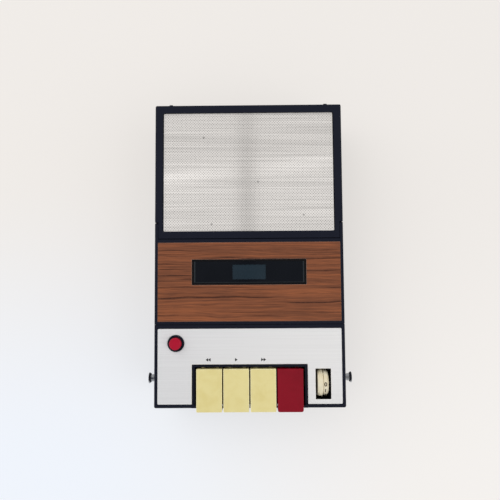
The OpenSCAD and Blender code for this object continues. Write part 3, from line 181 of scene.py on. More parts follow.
class Bench:
    """A node tree under construction."""

    def __init__(self, tree):
        self.tree = tree
        tree.nodes.clear()

    @staticmethod
    def socket(sockets, key):
        """A socket by its number, its identifier, or the name (_ for a space) of one that is in use."""
        if isinstance(key, int):
            return sockets[key]
        name = key.replace("_", " ")
        return next(s for s in sockets if s.identifier == key or (s.name == name and s.enabled))

    def plug(self, socket, value):
        if isinstance(value, Wire):
            self.tree.links.new(value.socket, socket)
        else:
            socket.default_value = value

    def node(self, kind, settings=None, output=0, **inputs):
        """Adds one node: its settings come first, because they decide which sockets it has."""
        made = self.tree.nodes.new(kind)
        for name, value in (settings or {}).items():
            if name == "stops":
                self.fill_ramp(made.color_ramp, value)
            else:
                setattr(made, name, value)
        for key, value in inputs.items():
            self.plug(self.socket(made.inputs, key), value)
        return Wire(self, self.socket(made.outputs, output))

    @staticmethod
    def fill_ramp(ramp, stops):
        while len(ramp.elements) < len(stops):
            ramp.elements.new(0.5)
        for element, (position, colour) in zip(ramp.elements, stops):
            element.position = position
            element.color = colour


print("wires and bench ready")

# %% [markdown]
# A finish is a material on the bench. All of ours start from the same place: a Principled shader,
# which knows plastic, metal and rubber by a few numbers, and the object's own coordinates turned
# into millimetres, so that a pattern "ten to the millimetre" is written as 10. What varies over the
# surface, such as grain, streaks or smudges, is plugged in by `vary`, and everything that is the same
# all over is a plain number on the shader.
# Colours are given as a screen shows them, 0 to 255, so `paint` makes them linear light.

# %% Finishes
def paint(red, green, blue):
    """A colour as a screen shows it, turned into the linear light that shaders count in."""
    def linear(level):
        level /= 255
        return level / 12.92 if level <= 0.04045 else ((level + 0.055) / 1.055) ** 2.4
    return (linear(red), linear(green), linear(blue), 1.0)


def shade(colour, factor):
    """The same colour lighter or darker."""
    return tuple(min(1.0, c * factor) for c in colour[:3]) + (1.0,)


finishes = {}


class Finish(Bench):
    """A material: one Principled shader and whatever varies over it."""

    def __init__(self, name, colour, roughness, **constants):
        self.material = finishes[name] = bpy.data.materials.new(name)
        self.material.use_nodes = True
        self.material.diffuse_color = self.colour = colour
        self.roughness = roughness
        super().__init__(self.material.node_tree)
        self.surface = self.tree.nodes.new("ShaderNodeBsdfPrincipled")
        self.end = self.tree.nodes.new("ShaderNodeOutputMaterial")
        self.tree.links.new(self.surface.outputs[0], self.end.inputs[0])
        self.vary(Base_Color=colour, Roughness=roughness, **constants)
        metres = self.node("ShaderNodeTexCoord", output="Object")
        self.where = self.node("ShaderNodeMapping", Vector=metres, Scale=(1 / MM, 1 / MM, 1 / MM))

    def vary(self, **values):
        for key, value in values.items():
            self.plug(self.socket(self.surface.inputs, key), value)

    def noise(self, scale, detail=2.0, where=None, distortion=0.0):
        return self.node("ShaderNodeTexNoise", None, "Fac", Vector=where or self.where, Scale=scale,
                         Detail=detail, Distortion=distortion)

    def streaks(self, x, y, z, detail=2.0, turn=0, scale=1.0, distortion=0.0):
        """A noise that is squeezed or stretched along each axis."""
        place = self.node("ShaderNodeMapping", Vector=self.where, Scale=(x, y, z), Rotation=(0, 0, turn))
        return self.noise(scale, detail, place, distortion)

    def cells(self, scale, output="Distance", dimensions="3D"):
        return self.node("ShaderNodeTexVoronoi", {"voronoi_dimensions": dimensions}, output,
                         Vector=self.where, Scale=scale)

    def red(self, colour):
        return self.node("ShaderNodeSeparateColor", None, "Red", Color=colour)

    def mix(self, first, second, amount):
        """Blends two colours."""
        return self.node("ShaderNodeMix", {"data_type": "RGBA", "clamp_factor": True}, "Result_Color",
                         Factor_Float=amount, A_Color=first, B_Color=second)

    def tones(self, dark, light, amount):
        """The finish's own colour, from so much darker to so much lighter."""
        return self.mix(shade(self.colour, dark), shade(self.colour, light), amount)

    def between(self, value, low, high):
        """Where a value that runs from 0 to 1 lies between two others."""
        return self.node("ShaderNodeMapRange", None, "Result", Value=value, To_Min=low, To_Max=high)

    def roughened(self, value, less, more):
        """The finish's own roughness, from so much less to so much more."""
        return self.between(value, self.roughness - less, self.roughness + more)

    def step(self, value, low, high):
        """0 below low, 1 above high and a soft edge between them."""
        return self.node("ShaderNodeMapRange", {"interpolation_type": "SMOOTHSTEP"}, "Result",
                         Value=value, From_Min=low, From_Max=high)

    def axis(self, name):
        return self.node("ShaderNodeSeparateXYZ", None, name, Vector=self.where)

    def bump(self, height, depth, strength=1.0):
        """Relief from a height map that is depth millimetres high."""
        return self.node("ShaderNodeBump", None, "Normal", Height=height, Distance=mm(depth),
                         Strength=strength)


print("colour check: mid grey is", round(paint(128, 128, 128)[0], 3))

# %% [markdown]
# The case is moulded in a navy-black styrene. Up close such a moulding isn't smooth: the steel mould
# was spark-eroded, which leaves a fine even grain and a satin sheen. Handling polishes it here and
# there and leaves faint smudges. So the grain is a fine noise used as relief, and a broad noise
# changes the roughness. The inside pieces and the deck under the lid are the same family, blacker.

# %% Moulded plastics
def moulded(name, colour, roughness, grain, grain_depth, **constants):
    """Styrene out of a grained mould: even fine relief, broad faint smudges."""
    finish = Finish(name, colour, roughness, **constants)
    smudges = finish.noise(0.045, 3)
    dust = finish.step(finish.noise(2.3), 0.63, 0.78)
    finish.vary(Base_Color=finish.mix(finish.tones(0.9, 1.12, smudges), shade(colour, 1.9), dust * 0.10),
                Roughness=finish.roughened(smudges, 0.06, 0.06) + dust * 0.08,
                Normal=finish.bump(finish.noise(grain, 3), grain_depth))


moulded("case_plastic", paint(20, 23, 36), 0.42, 5.0, 0.012, Specular_IOR_Level=0.14)
moulded("deck_plastic", paint(18, 19, 23), 0.5, 4.0, 0.012, Specular_IOR_Level=0.25)
moulded("inner_plastic", paint(30, 31, 33), 0.5, 3.0, 0.01)
moulded("head_black", paint(25, 25, 27), 0.35, 6.0, 0.005)
moulded("spindle_white", paint(226, 222, 210), 0.4, 3.0, 0.006)
print(len(finishes), "plastics")

# %% [markdown]
# The keys, the record button and the volume wheel were polished in the mould, so they are glossy,
# and fifty years of fingers have left them slightly uneven: the cream has yellowed in clouds, and
# fine hairline scratches run along the way a finger wipes. Each scratch is a very stretched noise,
# cut off so that only its peaks remain.

# %% Glossy plastics
def polished(name, colour, aged, roughness, wipe=(6, 0.12, 1)):
    """Polished plastic, clouded between two colours, with hairlines along one way."""
    finish = Finish(name, colour, roughness, Specular_IOR_Level=0.16, Coat_Weight=0.05, Coat_Roughness=0.12)
    cloud = finish.noise(0.11, 3, distortion=0.4)
    hair = finish.step(finish.streaks(*wipe), 0.66, 0.72)
    clouded = finish.mix(colour, aged, finish.step(cloud, 0.35, 0.75))
    finish.vary(Base_Color=finish.mix(clouded, shade(colour, 1.15), hair * 0.08),
                Roughness=finish.roughened(cloud, 0.05, 0.07) + hair * 0.12,
                Normal=finish.bump(finish.noise(1.4) + hair * 0.3, 0.004))


polished("key_cream", paint(226, 214, 153), paint(220, 206, 141), 0.34)
# painted highlight: a lighter cream for the rounded edges of the cream keys
polished("cream_edge", paint(243, 235, 190), paint(240, 229, 180), 0.3)
polished("key_red", paint(132, 10, 31), paint(124, 8, 28), 0.34)
polished("record_red", paint(170, 17, 46), paint(161, 15, 43), 0.3)
polished("wheel_ivory", paint(234, 226, 202), paint(222, 209, 176), 0.4, wipe=(0.3, 4, 4))
print("glossy plastics done")

# %% [markdown]
# Steel parts inside are zinc plated. Zinc crystallises in patches, which a Voronoi texture gives:
# each cell has its own grey. Bright parts, such as the strap studs and the tape heads, are nickel
# plated: nearly a mirror, with fine scratches. Brass tarnishes in soft clouds, and the belts and feet
# are black rubber with a dusty skin.

# %% Metals and rubber
def plated(name, colour, roughness, patch_scale, contrast, scratches=0.1):
    """Plated metal in patches, with fine scratches both ways."""
    finish = Finish(name, colour, roughness, Metallic=1.0)
    patch = finish.red(finish.cells(patch_scale, "Color"))
    long_lines = finish.streaks(0.15, 9, 9, 3)
    cross_lines = finish.streaks(8, 0.2, 8, turn=0.5)
    finish.vary(Base_Color=finish.tones(1 - contrast, 1 + contrast, patch),
                Roughness=finish.roughened(long_lines, 0.08, 0.1) + patch * 0.05,
                Normal=finish.bump(long_lines + cross_lines * 0.5, 0.003, scratches))


def tarnished(name, bright, dull, roughness):
    """A yellow metal that has gone dull in clouds."""
    finish = Finish(name, bright, roughness, Metallic=1.0)
    cloud = finish.step(finish.noise(0.35, 4, distortion=0.6), 0.38, 0.7)
    finish.vary(Base_Color=finish.mix(bright, dull, cloud),
                Roughness=finish.roughened(cloud, 0, 0.22),
                Normal=finish.bump(finish.noise(7), 0.003))


def rubbery(name, colour, roughness):
    """Rubber: matt, finely pitted, greyed by dust where it is high."""
    finish = Finish(name, colour, roughness)
    pits = finish.noise(3.5, 4)
    bloom = finish.step(finish.noise(0.5, 3), 0.45, 0.8)
    finish.vary(Base_Color=finish.mix(colour, paint(58, 57, 55), bloom * 0.35),
                Roughness=finish.roughened(pits, 0.1, 0.1),
                Normal=finish.bump(pits, 0.03, 0.6))


plated("steel", paint(176, 178, 180), 0.36, 0.8, 0.16, scratches=0.4)
plated("chrome", paint(168, 170, 174), 0.24, 0.3, 0.03)
tarnished("brass", paint(206, 172, 96), paint(150, 116, 62), 0.24)
tarnished("bronze_spring", paint(196, 148, 92), paint(132, 92, 58), 0.3)
rubbery("rubber", paint(26, 26, 27), 0.8)
print("metals and rubber done")

# %% [markdown]
# Behind the holes of the loudspeaker sheet lies a black cloth, and behind that the loudspeaker: a
# pressed steel basket, a paper cone and a ferrite magnet. The cloth is a plain weave: threads that
# pass over and under each other in turn, which two sines at right angles give. Paper shows its
# fibres, ferrite the dull speckle of fired ceramic, and the circuit board the brown of resin paper.

# %% Loudspeaker and circuit board
THREAD = 0.45


def woven(name, colour):
    finish = Finish(name, colour, 0.9, Sheen_Weight=0.2, Sheen_Roughness=0.5)
    across, along = [(finish.axis(way) * (math.tau / THREAD / 2)).wave() for way in "XY"]
    threads = abs(across) * 0.5 + abs(along) * 0.5 + across * along * 0.3
    finish.vary(Base_Color=finish.tones(0.6, 1.6, threads),
                Roughness=finish.roughened(finish.noise(0.2), 0.08, 0.06),
                Normal=finish.bump(threads, 0.12))


def fibrous(name, colour, roughness, scale=1.2, contrast=0.25):
    finish = Finish(name, colour, roughness)
    fibres = finish.streaks(1, 3.2, 1, detail=5, turn=0.4, scale=scale, distortion=1.2)
    finish.vary(Base_Color=finish.tones(1 - contrast, 1 + contrast, fibres),
                Roughness=finish.roughened(finish.cells(2.5), 0.1, 0.05),
                Normal=finish.bump(fibres, 0.03))


woven("cloth", paint(20, 20, 22))
fibrous("speaker_cone", paint(44, 43, 45), 0.85)
fibrous("magnet", paint(66, 66, 70), 0.6, scale=4, contrast=0.12)
fibrous("board", paint(150, 110, 62), 0.55, scale=0.8, contrast=0.1)
plated("speaker_frame", paint(150, 152, 150), 0.4, 0.5, 0.08)
fibrous("components", paint(120, 84, 52), 0.4, scale=0.3, contrast=0.5)
print("loudspeaker and board finishes done")

# %% [markdown]
# Both bright sheets on top are aluminium. The loudspeaker sheet is brushed from side to side before
# it is punched, and the control panel is etched to a soft satin and then anodised. Brushing shows in
# two ways: thin streaks that are a little lighter or darker, and a relief of grooves so fine that
# only the highlight notices, which it spreads across the grooves. Satin anodising scatters light so
# widely that it looks half white, so part of the surface isn't treated as metal. The loudspeaker
# sheet is smoother, so it mirrors more, and it has a few small dents from its long life, whose shade is
# painted on as small dark spots.

# %% Aluminium sheets
def brushed(name, colour, roughness, metallic, contrast, groove_depth, dent_shade=0.0):
    """Aluminium brushed along X: streaks in tone, grooves in relief, and here and there the painted shade of
    a dent.
    """
    finish = Finish(name, colour, roughness, Metallic=metallic)
    fine = finish.streaks(0.05, 7, 1, 3)
    broad = finish.streaks(0.01, 0.55, 1)
    lines = finish.step(finish.streaks(0.008, 2.1, 1, 1), 0.4, 0.6)
    haze = finish.noise(0.02)
    tone = finish.step(fine * 0.25 + broad * 0.2 + lines * 0.4 + haze * 0.15, 0.2, 0.8)
    colour_there = finish.tones(1 - contrast, 1 + contrast, tone)
    # painted shade: small dark spots where the sheet is dented
    if dent_shade:
        dent_spot = finish.cells(0.021, dimensions="2D") + finish.noise(2.0) * 0.03
        dent_shade_mask = 1 - finish.step(dent_spot, 0.022, 0.037)
        colour_there = finish.mix(colour_there, shade(colour, 0.3), dent_shade_mask * dent_shade)
    finish.vary(Base_Color=colour_there,
                Roughness=finish.roughened(fine, roughness * 0.2, roughness * 0.2),
                Normal=finish.bump(fine + broad * 0.4, groove_depth))


brushed("grille", paint(231, 227, 223), 0.1, 0.3, 0.13, 0.002, dent_shade=0.8)
brushed("panel", paint(238, 238, 239), 0.35, 0.3, 0.02, 0.002)
# near white: the panel's bevel, a painted highlight as well as the bright cut edge
brushed("panel_edge", paint(252, 252, 252), 0.3, 0.1, 0.01, 0.001)
print("aluminium done")

# %% [markdown]
# The lid's plate is a photo-printed wood laminate: a warm mid brown with long dark grain lines that
# run from side to side, finer ones between them and broad lighter and darker bands. Noises that are
# stretched along the grain make the bands. The lines come from a Voronoi texture with one dimension:
# it scatters points along a ruler, and the distance to the nearest one, cut off close to it, leaves
# thin lines at irregular steps. Its colour output gives each line a strength of its own, and another
# noise breaks the line up along its length. Bending the ruler first makes all of them wander.

# %% Wood-grain laminate
def laminate(name):
    light = paint(149, 88, 56)
    middle = paint(125, 75, 51)
    deep = paint(98, 60, 43)
    line = paint(46, 24, 20)
    finish = Finish(name, middle, 0.42, Specular_IOR_Level=0.15)
    wander = (finish.streaks(0.014, 0.04, 1) - 0.5) * 5.0
    ripple = (finish.streaks(0.07, 0.2, 1) - 0.5) * 0.8
    grain = finish.axis("Y") + wander + ripple
    bent = finish.node("ShaderNodeCombineXYZ", X=finish.axis("X"), Y=grain)

    def along(x, y):
        """A noise that runs with the grain, so many per millimetre each way."""
        return finish.noise(1.0, 3, finish.node("ShaderNodeMapping", Vector=bent, Scale=(x, y, 1)))

    def grain_lines(spacing, width, length, start):
        """Thin dark lines at irregular distances, each as strong as chance has it."""
        fibre = finish.node("ShaderNodeTexVoronoi", {"voronoi_dimensions": "1D"}, "Distance",
                            W=grain / spacing + start, Scale=1.0)
        chance = Wire(finish, finish.socket(fibre.socket.node.outputs, "Color"))
        strength = finish.red(chance) * 0.6 + 0.4
        part = finish.step(along(1 / length, 0.9 / spacing), 0.42, 0.6)
        dashes = finish.between(along(0.55, 0.9 / spacing), 0.55, 1.35).at_most(1.0)
        return (1 - finish.step(fibre * spacing, width * 0.25, width)) * strength * part * dashes

    tone = along(0.008, 0.14) * 0.34 + along(0.02, 0.8) * 0.36 + along(0.08, 3.2) * 0.3
    ground = finish.node("ShaderNodeValToRGB", {"stops": [(0.38, deep), (0.49, middle), (0.6, light)]},
                         "Color", Fac=tone)
    strong = grain_lines(4.2, 0.6, 52, 11.3)
    fine = grain_lines(1.7, 0.34, 24, 4.7)
    soft = grain_lines(5.2, 1.5, 70, 31.9)
    colour = finish.mix(finish.mix(ground, deep, soft * 0.7), line, fine * 0.5)
    finish.vary(Base_Color=finish.mix(colour, line, strong.at_most(1.0)),
                Roughness=finish.between(tone, 0.38, 0.48),
                Normal=finish.bump(1 - strong * 0.6 - fine * 0.4, 0.01, 0.5))


laminate("wood_grain")
moulded("wood_edge", paint(150, 128, 118), 0.45, 4.0, 0.005)
print("laminate done")

# %% [markdown]
# The window in the lid is one piece of clear acrylic, sprayed black from behind except for a port
# over the cassette's own window. So its face is mirror smooth all over, black where it is sprayed
# and smoky where it isn't. The thin clear part lets light through to the deck below.

# %% Acrylic window
def acrylic(name, colour, roughness, **constants):
    finish = Finish(name, colour, roughness, IOR=1.49, **constants)
    swirls = finish.step(finish.streaks(0.5, 6, 1, turn=0.7), 0.66, 0.7)
    film = finish.noise(0.08, 3)
    finish.vary(Base_Color=finish.tones(0.9, 1.15, film),
                Roughness=finish.roughened(film, 0, 0.06) + swirls * 0.1)


acrylic("window_black", paint(13, 16, 22), 0.08)
acrylic("window_border", paint(9, 8, 11), 0.4, Specular_IOR_Level=0.2)
# painted highlight: a lighter grey for the sloping bevel of the window pane
acrylic("pane_edge", paint(27, 33, 38), 0.25, Specular_IOR_Level=0.3)
acrylic("clear_port", paint(40, 54, 64), 0.08, Transmission_Weight=0.25)
acrylic("ink", paint(22, 21, 23), 0.5, Specular_IOR_Level=0.2)
acrylic("number_ink", paint(46, 28, 13), 0.6, Specular_IOR_Level=0.2)
print(len(finishes), "finishes in all")

# %% [markdown]
# Every piece of the construction names the material slot that it was built for, and our finishes
# carry the same names. So most pieces are dressed in one loop: look up the slot, assign the finish.

# %% Dress the construction
slot_of = {n["node"]: n["material_slot"] for n in frame["record"]["subparts"]}
for name, node in nodes.items():
    node.data.materials.clear()
    node.data.materials.append(finishes[slot_of[name]])
    for polygon in node.data.polygons:
        polygon.material_index = 0
print("dressed", len(slot_of), "pieces")

# %% [markdown]
# The pieces that we add are shaped as a bmesh, a mesh that can be cut and joined at will, and end as
# an object whose place is in its mesh. Each rides on the body that carries it, and where it shows
# something that the construction has too, it stands for that piece, which is then hidden. Only rounded
# strips are shaded smoothly: a large flat would otherwise show the turn of its neighbours as a shadow.

# %% Pieces and their skins
SMOOTH_ANGLE = math.radians(35)
FLAT_NORMAL = 0.9999


def as_mesh(name, skin):
    """The mesh that a bmesh makes. The bmesh is used up."""
    mesh = bpy.data.meshes.new(name)
    skin.to_mesh(mesh)
    skin.free()
    return mesh


def attach(piece, body, stands_for=()):
    """Makes a piece a part of the recorder: it rides on a body and may stand for CAD pieces."""
    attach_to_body(piece, body)
    if stands_for:
        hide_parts(*stands_for)


def add_piece(name, skin, body, finish, slot, stands_for=()):
    """Turns a bmesh into a piece of the object, in one finish or several."""
    piece = in_scene(name, as_mesh(name, skin))
    for each in [finish] if isinstance(finish, str) else finish:
        piece.data.materials.append(finishes[each])
    attach(piece, body, stands_for)
    return piece


def bake_modifiers(piece):
    """Replaces a piece's mesh by what its modifiers make of it."""
    bpy.context.view_layer.update()
    seen = piece.evaluated_get(bpy.context.evaluated_depsgraph_get())
    mesh = bpy.data.meshes.new_from_object(seen)
    mesh.name = piece.name
    old = piece.data
    piece.modifiers.clear()
    piece.data = mesh
    bpy.data.meshes.remove(old)


def shade_curves(piece):
    """Shades rounded strips smoothly, and keeps flats flat and real corners crisp."""
    piece.data.set_sharp_from_angle(angle=SMOOTH_ANGLE)
    for polygon in piece.data.polygons:
        polygon.use_smooth = max(abs(c) for c in polygon.normal) < FLAT_NORMAL


print("pieces can be made, worn and shaded")

# %% [markdown]
# Rounding an edge moves the outlines of the large flats beside it, which can upset how their many
# corners are split into triangles. So each flat is filled afresh between its outlines by a Delaunay
# triangulation. The faces of a flat are kept in the order in which they are met, and not in a set,
# whose order changes from run to run, so that the filling comes out the same each time.

# %% Flats filled afresh
LEVEL = 0.99999


def one_flat(start):
    """A face and all the faces that continue it in the same plane and finish, in a fixed order."""
    flat, waiting = {start: True}, [start]
    while waiting:
        for edge in waiting.pop().edges:
            for face in edge.link_faces:
                level = face.normal.dot(start.normal) > LEVEL
                if face not in flat and level and face.material_index == start.material_index:
                    flat[face] = True
                    waiting.append(face)
    return flat


def is_inside(point, sides):
    """Whether a point lies in an outline: a line from it to the right leaves an odd number of times."""
    crossings = 0
    for a, b in sides:
        if (a.y > point.y) != (b.y > point.y):
            crossings += point.x < a.x + (point.y - a.y) * (b.x - a.x) / (b.y - a.y)
    return crossings % 2 == 1


def refill_flats(mesh):
    """Fills each large flat afresh from its outline, as thin triangles that never overlap."""
    skin = bmesh.new()
    skin.from_mesh(mesh)
    flats = []
    for face in skin.faces:
        if len(face.verts) > 4 and not any(face in flat for flat in flats):
            flats.append(one_flat(face))
    for flat in flats:
        start = next(iter(flat))
        facing, material = start.normal.copy(), start.material_index
        outline = [edge for edge in dict.fromkeys(e for face in flat for e in face.edges)
                   if sum(face in flat for face in edge.link_faces) == 1]
        corners = list(dict.fromkeys(vert for edge in outline for vert in edge.verts))
        number = {vert: i for i, vert in enumerate(corners)}
        level = facing.to_track_quat("Z", "Y").inverted()
        sides = [(number[edge.verts[0]], number[edge.verts[1]]) for edge in outline]
        points, _, triangles = delaunay_2d_cdt([(level @ vert.co).xy / MM for vert in corners],
                                               sides, [], 1, 1e-5)[:3]
        if len(points) != len(corners):
            continue
        sides = [(points[a], points[b]) for a, b in sides]
        bmesh.ops.delete(skin, geom=list(flat), context="FACES")
        for triangle in triangles:
            if is_inside(sum((points[i] for i in triangle), Vector((0, 0))) / 3, sides):
                skin.faces.new([corners[i] for i in triangle]).material_index = material
    skin.to_mesh(mesh)
    skin.free()


print("a flat has faces within", round(math.degrees(math.acos(LEVEL)), 2), "degrees")

# %% [markdown]
# Nothing moulded or stamped has truly sharp edges: a mould can't be cut that sharp. A sharp edge
# looks fake because no highlight can sit on it. So the pieces that show get a softened copy: the
# loose triangles are merged into one skin, flat areas are joined up, and the Bevel modifier rounds
# every edge that turns by more than a set angle. The copy stands for the original, and the rounded
# strip may have a finish of its own, such as a lighter one that paints a highlight line along the edge.

# %% Softened copies
SAME_POINT = 2e-6
SAME_PLANE = math.radians(0.4)
BEVEL = {"segments": 2, "limit_method": "ANGLE", "angle_limit": math.radians(38),
         "use_clamp_overlap": True, "loop_slide": False, "miter_outer": "MITER_ARC"}


def soften(node, width, edge_finish=None, **changes):
    """A copy of a CAD piece with its edges rounded by width millimetres."""
    skin = bmesh.new()
    skin.from_mesh(nodes[node].data)
    bmesh.ops.remove_doubles(skin, verts=skin.verts, dist=SAME_POINT)
    bmesh.ops.dissolve_limit(skin, angle_limit=SAME_PLANE, verts=skin.verts, edges=skin.edges)
    finish = [slot_of[node]] + ([edge_finish] if edge_finish else [])
    piece = add_piece(f"{node}_soft", skin, nodes[node]["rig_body"], finish, slot_of[node], (node,))
    bevel = piece.modifiers.new("edges", "BEVEL")
    for name, value in {**BEVEL, "width": mm(width), "material": len(finish) - 1, **changes}.items():
        setattr(bevel, name, value)
    bake_modifiers(piece)
    refill_flats(piece.data)
    shade_curves(piece)
    print(f"{node}: {len(piece.data.polygons)} faces")


for node, width in (("top_case", 0.2), ("bottom_case", 0.25), ("lid_frame", 0.2),
                    ("battery_door", 0.25), ("feet", 0.3), ("deck_cover", 0.2)):
    soften(node, width)

# %% [markdown]
# The piano keys have the roundest edges on the recorder, because fingers land on them. The cream
# ones have a lighter finish on their rounded edges, a painted highlight that draws a light line along them.

# %% Keys
# the cream keys' rounded edges get a lighter finish, a painted highlight
for key in ("rewind_key", "play_key", "forward_key"):
    soften(key, 0.35, "cream_edge", segments=3)
soften("stop_key", 0.35, segments=3)
soften("record_button", 0.12)

# %% [markdown]
# The control panel is a stamped sheet whose edges were cut bright after anodising, so a thin white
# line runs round the panel and round the opening for the keys. The bevel's own near-white finish gives that
# line, which is a painted highlight as well as the bright cut.

# %% Control panel
# the bevel's near-white finish paints a highlight line round the panel
soften("control_panel", 0.3, "panel_edge", segments=1)
soften("lid_veneer", 0.12, "wood_edge", segments=1)

# %% [markdown]
# The three arrows on the panel, back, play and forward, are the signs that every recorder has. They
# are printed, so each is a flat triangle a few hundredths of a millimetre thick. It is the first of
# several shapes that are made by laying faces between loops of corners, so that is a function.

# %% Transport signs
PRINT = 0.03
SIGN_SIZE = 2.5
SIGN_LENGTH = SIGN_SIZE * 0.72
SIGN_LINE = -77.7
panel_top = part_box("control_panel")[1].z / MM


def cover(skin, loops, capped=True):
    """Bands of faces between loops of points, with both ends capped, or back to the first loop."""
    loops = [[skin.verts.new(point) for point in loop] for loop in loops]
    for near, far in zip(loops, loops[1:] if capped else loops[1:] + loops[:1]):
        for i in range(len(near)):
            j = (i + 1) % len(near)
            skin.faces.new((near[i], near[j], far[j], far[i]))
    if capped:
        skin.faces.new(loops[0][::-1])
        skin.faces.new(loops[-1])
    bmesh.ops.recalc_face_normals(skin, faces=skin.faces)


def arrow_sign(name, right, way, count):
    """Printed triangles that point right (way 1) or left (way -1), side by side."""
    skin = bmesh.new()
    for i in range(count):
        tail = right + way * SIGN_LENGTH * (i - count / 2)
        corners = [(tail, SIGN_LINE - SIGN_SIZE / 2), (tail + way * SIGN_LENGTH, SIGN_LINE),
                   (tail, SIGN_LINE + SIGN_SIZE / 2)]
        cover(skin, [[place(x, y, height) for x, y in corners] for height in (panel_top, panel_top + PRINT)])
    add_piece(name, skin, "case", "ink", "panel")


arrow_sign("sign_rewind", -30.4, -1, 2)
arrow_sign("sign_play", -9.8, 1, 1)
arrow_sign("sign_forward", 10.2, 1, 2)
print("three signs printed")

# %% [markdown]
# Seen from above, the front wall of the case reaches up between the keys: a thin web stands in each
# gap, and beside the outer keys the wall comes close to them. All five are plain moulded blocks with
# rounded edges, joined into one piece of the case. They keep clear of the keys, which only move up
# and down. Two ribs on the rear wall are made the same way. From above only their ends show.

# %% Webs between the keys and ribs on the rear wall
def moulded_blocks(name, boxes, radius):
    """Blocks with rounded edges as one piece of the case: each box is its low and its high corner."""
    skin = bmesh.new()
    for low, high in boxes:
        low, high = place(*low), place(*high)
        size = Matrix.Diagonal([*(high - low), 1])
        bmesh.ops.create_cube(skin, size=1, matrix=Matrix.Translation((low + high) / 2) @ size)
    bmesh.ops.bevel(skin, geom=skin.edges[:], offset=mm(radius), segments=2, affect="EDGES", profile=0.5)
    shade_curves(add_piece(name, skin, "case", "case_plastic", "case_plastic"))


FRONT = (case_low.y - CASE_MIDDLE) / MM
REAR = (case_high.y - CASE_MIDDLE) / MM
KEY_PITCH = 19.7
WEB_WIDTH, WEB_DEPTH, WEB_HEIGHTS = 0.7, 3.4, (46, 57.7)
CHEEK_WIDTH, CHEEK_DEPTH, CHEEK_HEIGHTS = 3.1, 2, (37.3, 57.95)
RIB_WIDTH, RIB_DEPTH, RIB_HEIGHTS = 2.6, 0.6, (31.5, 57.5)


def block(left, width, front, rear, heights):
    return (left, front, heights[0]), (left + width, rear, heights[1])


webs = [block(x - WEB_WIDTH / 2, WEB_WIDTH, FRONT, FRONT + WEB_DEPTH, WEB_HEIGHTS)
        for x in (-KEY_PITCH, 0, KEY_PITCH)]
webs += [block(x, CHEEK_WIDTH, FRONT, FRONT + CHEEK_DEPTH, CHEEK_HEIGHTS) for x in (-42.3, 39.2)]
ribs = [block(x - RIB_WIDTH / 2, RIB_WIDTH, REAR - 0.1, REAR + RIB_DEPTH, RIB_HEIGHTS)
        for x in (-58.2, 58.2)]
moulded_blocks("key_webs", webs, 0.12)
moulded_blocks("rear_ribs", ribs, 0.25)
print(len(webs), "webs and", len(ribs), "ribs")

# %% [markdown]
# Some things on the recorder are one small shape many times over: the holes of the loudspeaker
# sheet, the ridges round the volume wheel. Geometry Nodes are made for that. A `Recipe` is a
# geometry tree on the same bench as the materials, with named inputs for its sizes: `r["Pitch"]` is
# one of them. The object that it is made on brings a blank, which is the shape to repeat or to add
# to, and `make` runs the recipe and keeps the result as a plain mesh.

# %% A bench for geometry
class Recipe(Bench):
    """A Geometry Nodes tree with named number inputs."""

    def __init__(self, name, **sizes):
        super().__init__(bpy.data.node_groups.new(name, "GeometryNodeTree"))
        sockets = self.tree.interface
        sockets.new_socket("Geometry", in_out="OUTPUT", socket_type="NodeSocketGeometry")
        sockets.new_socket("Blank", in_out="INPUT", socket_type="NodeSocketGeometry")
        self.keys = {}
        for size, kind in sizes.items():
            socket = sockets.new_socket(size, in_out="INPUT", socket_type=f"NodeSocket{kind}")
            self.keys[size] = socket.identifier
        self.given = self.tree.nodes.new("NodeGroupInput")

    def __getitem__(self, name):
        return Wire(self, self.socket(self.given.outputs, name))

    def serve(self, geometry, finish):
        """Ends the tree with plain geometry in one finish."""
        real = self.node("GeometryNodeRealizeInstances", Geometry=geometry)
        painted = self.node("GeometryNodeSetMaterial", Geometry=real, Material=finishes[finish])
        self.plug(self.tree.nodes.new("NodeGroupOutput").inputs[0], painted)

    def make(self, name, body, slot, stands_for, blank, **sizes):
        """Runs the recipe with these sizes and returns the result as a plain mesh piece."""
        piece = in_scene(name, blank.copy())
        modifier = piece.modifiers.new("recipe", "NODES")
        modifier.node_group = self.tree
        for size, value in sizes.items():
            modifier[self.keys[size]] = value
        bake_modifiers(piece)
        attach(piece, body, stands_for)
        print(f"{name}: {len(piece.data.polygons)} faces")
        return piece


print("geometry bench ready")

# %% [markdown]
# The loudspeaker sheet has more than five thousand holes, punched in rows that are offset by half a
# step, so that each hole sits between two of its neighbours. Cutting them out of a plate one by one
# would take minutes. A bricklayer's way is quicker: make one brick of sheet with a hole in it, and lay
# bricks in rows, each row shifted by half a brick. The brick has a joint halfway along its long sides
# as well as at its corners, because that is where the corners of the next row meet it, and so the
# merged bricks have no cracks. The edges on its rim are marked, to tell them from those of the hole.

# %% One brick of sheet
HOLE_PITCH = 1.96
ROW_PITCH = 1.065
HOLE_RADIUS = 0.27
HOLE_SIDES = 8


def ring(radius, sides):
    """Points round a circle."""
    steps = [math.tau * i / sides for i in range(sides)]
    return [(radius * math.cos(a), radius * math.sin(a)) for a in steps]


def make_brick():
    half_x, half_y = mm(HOLE_PITCH / 2), mm(ROW_PITCH / 2)
    outline = [(-half_x, -half_y), (0, -half_y), (half_x, -half_y),
               (half_x, half_y), (0, half_y), (-half_x, half_y)]
    skin = bmesh.new()
    rim = skin.edges.layers.bool.new("rim")
    for loop in (outline, ring(mm(HOLE_RADIUS), HOLE_SIDES)):
        corners = [skin.verts.new((x, y, 0)) for x, y in loop]
        for a, b in zip(corners, corners[1:] + corners[:1]):
            skin.edges.new((a, b))[rim] = loop is outline
    bmesh.ops.triangle_fill(skin, use_beauty=True, edges=skin.edges[:])
    for face in skin.faces:
        face.normal_update()
        if face.normal.z < 0:
            face.normal_flip()
    return as_mesh("brick", skin)


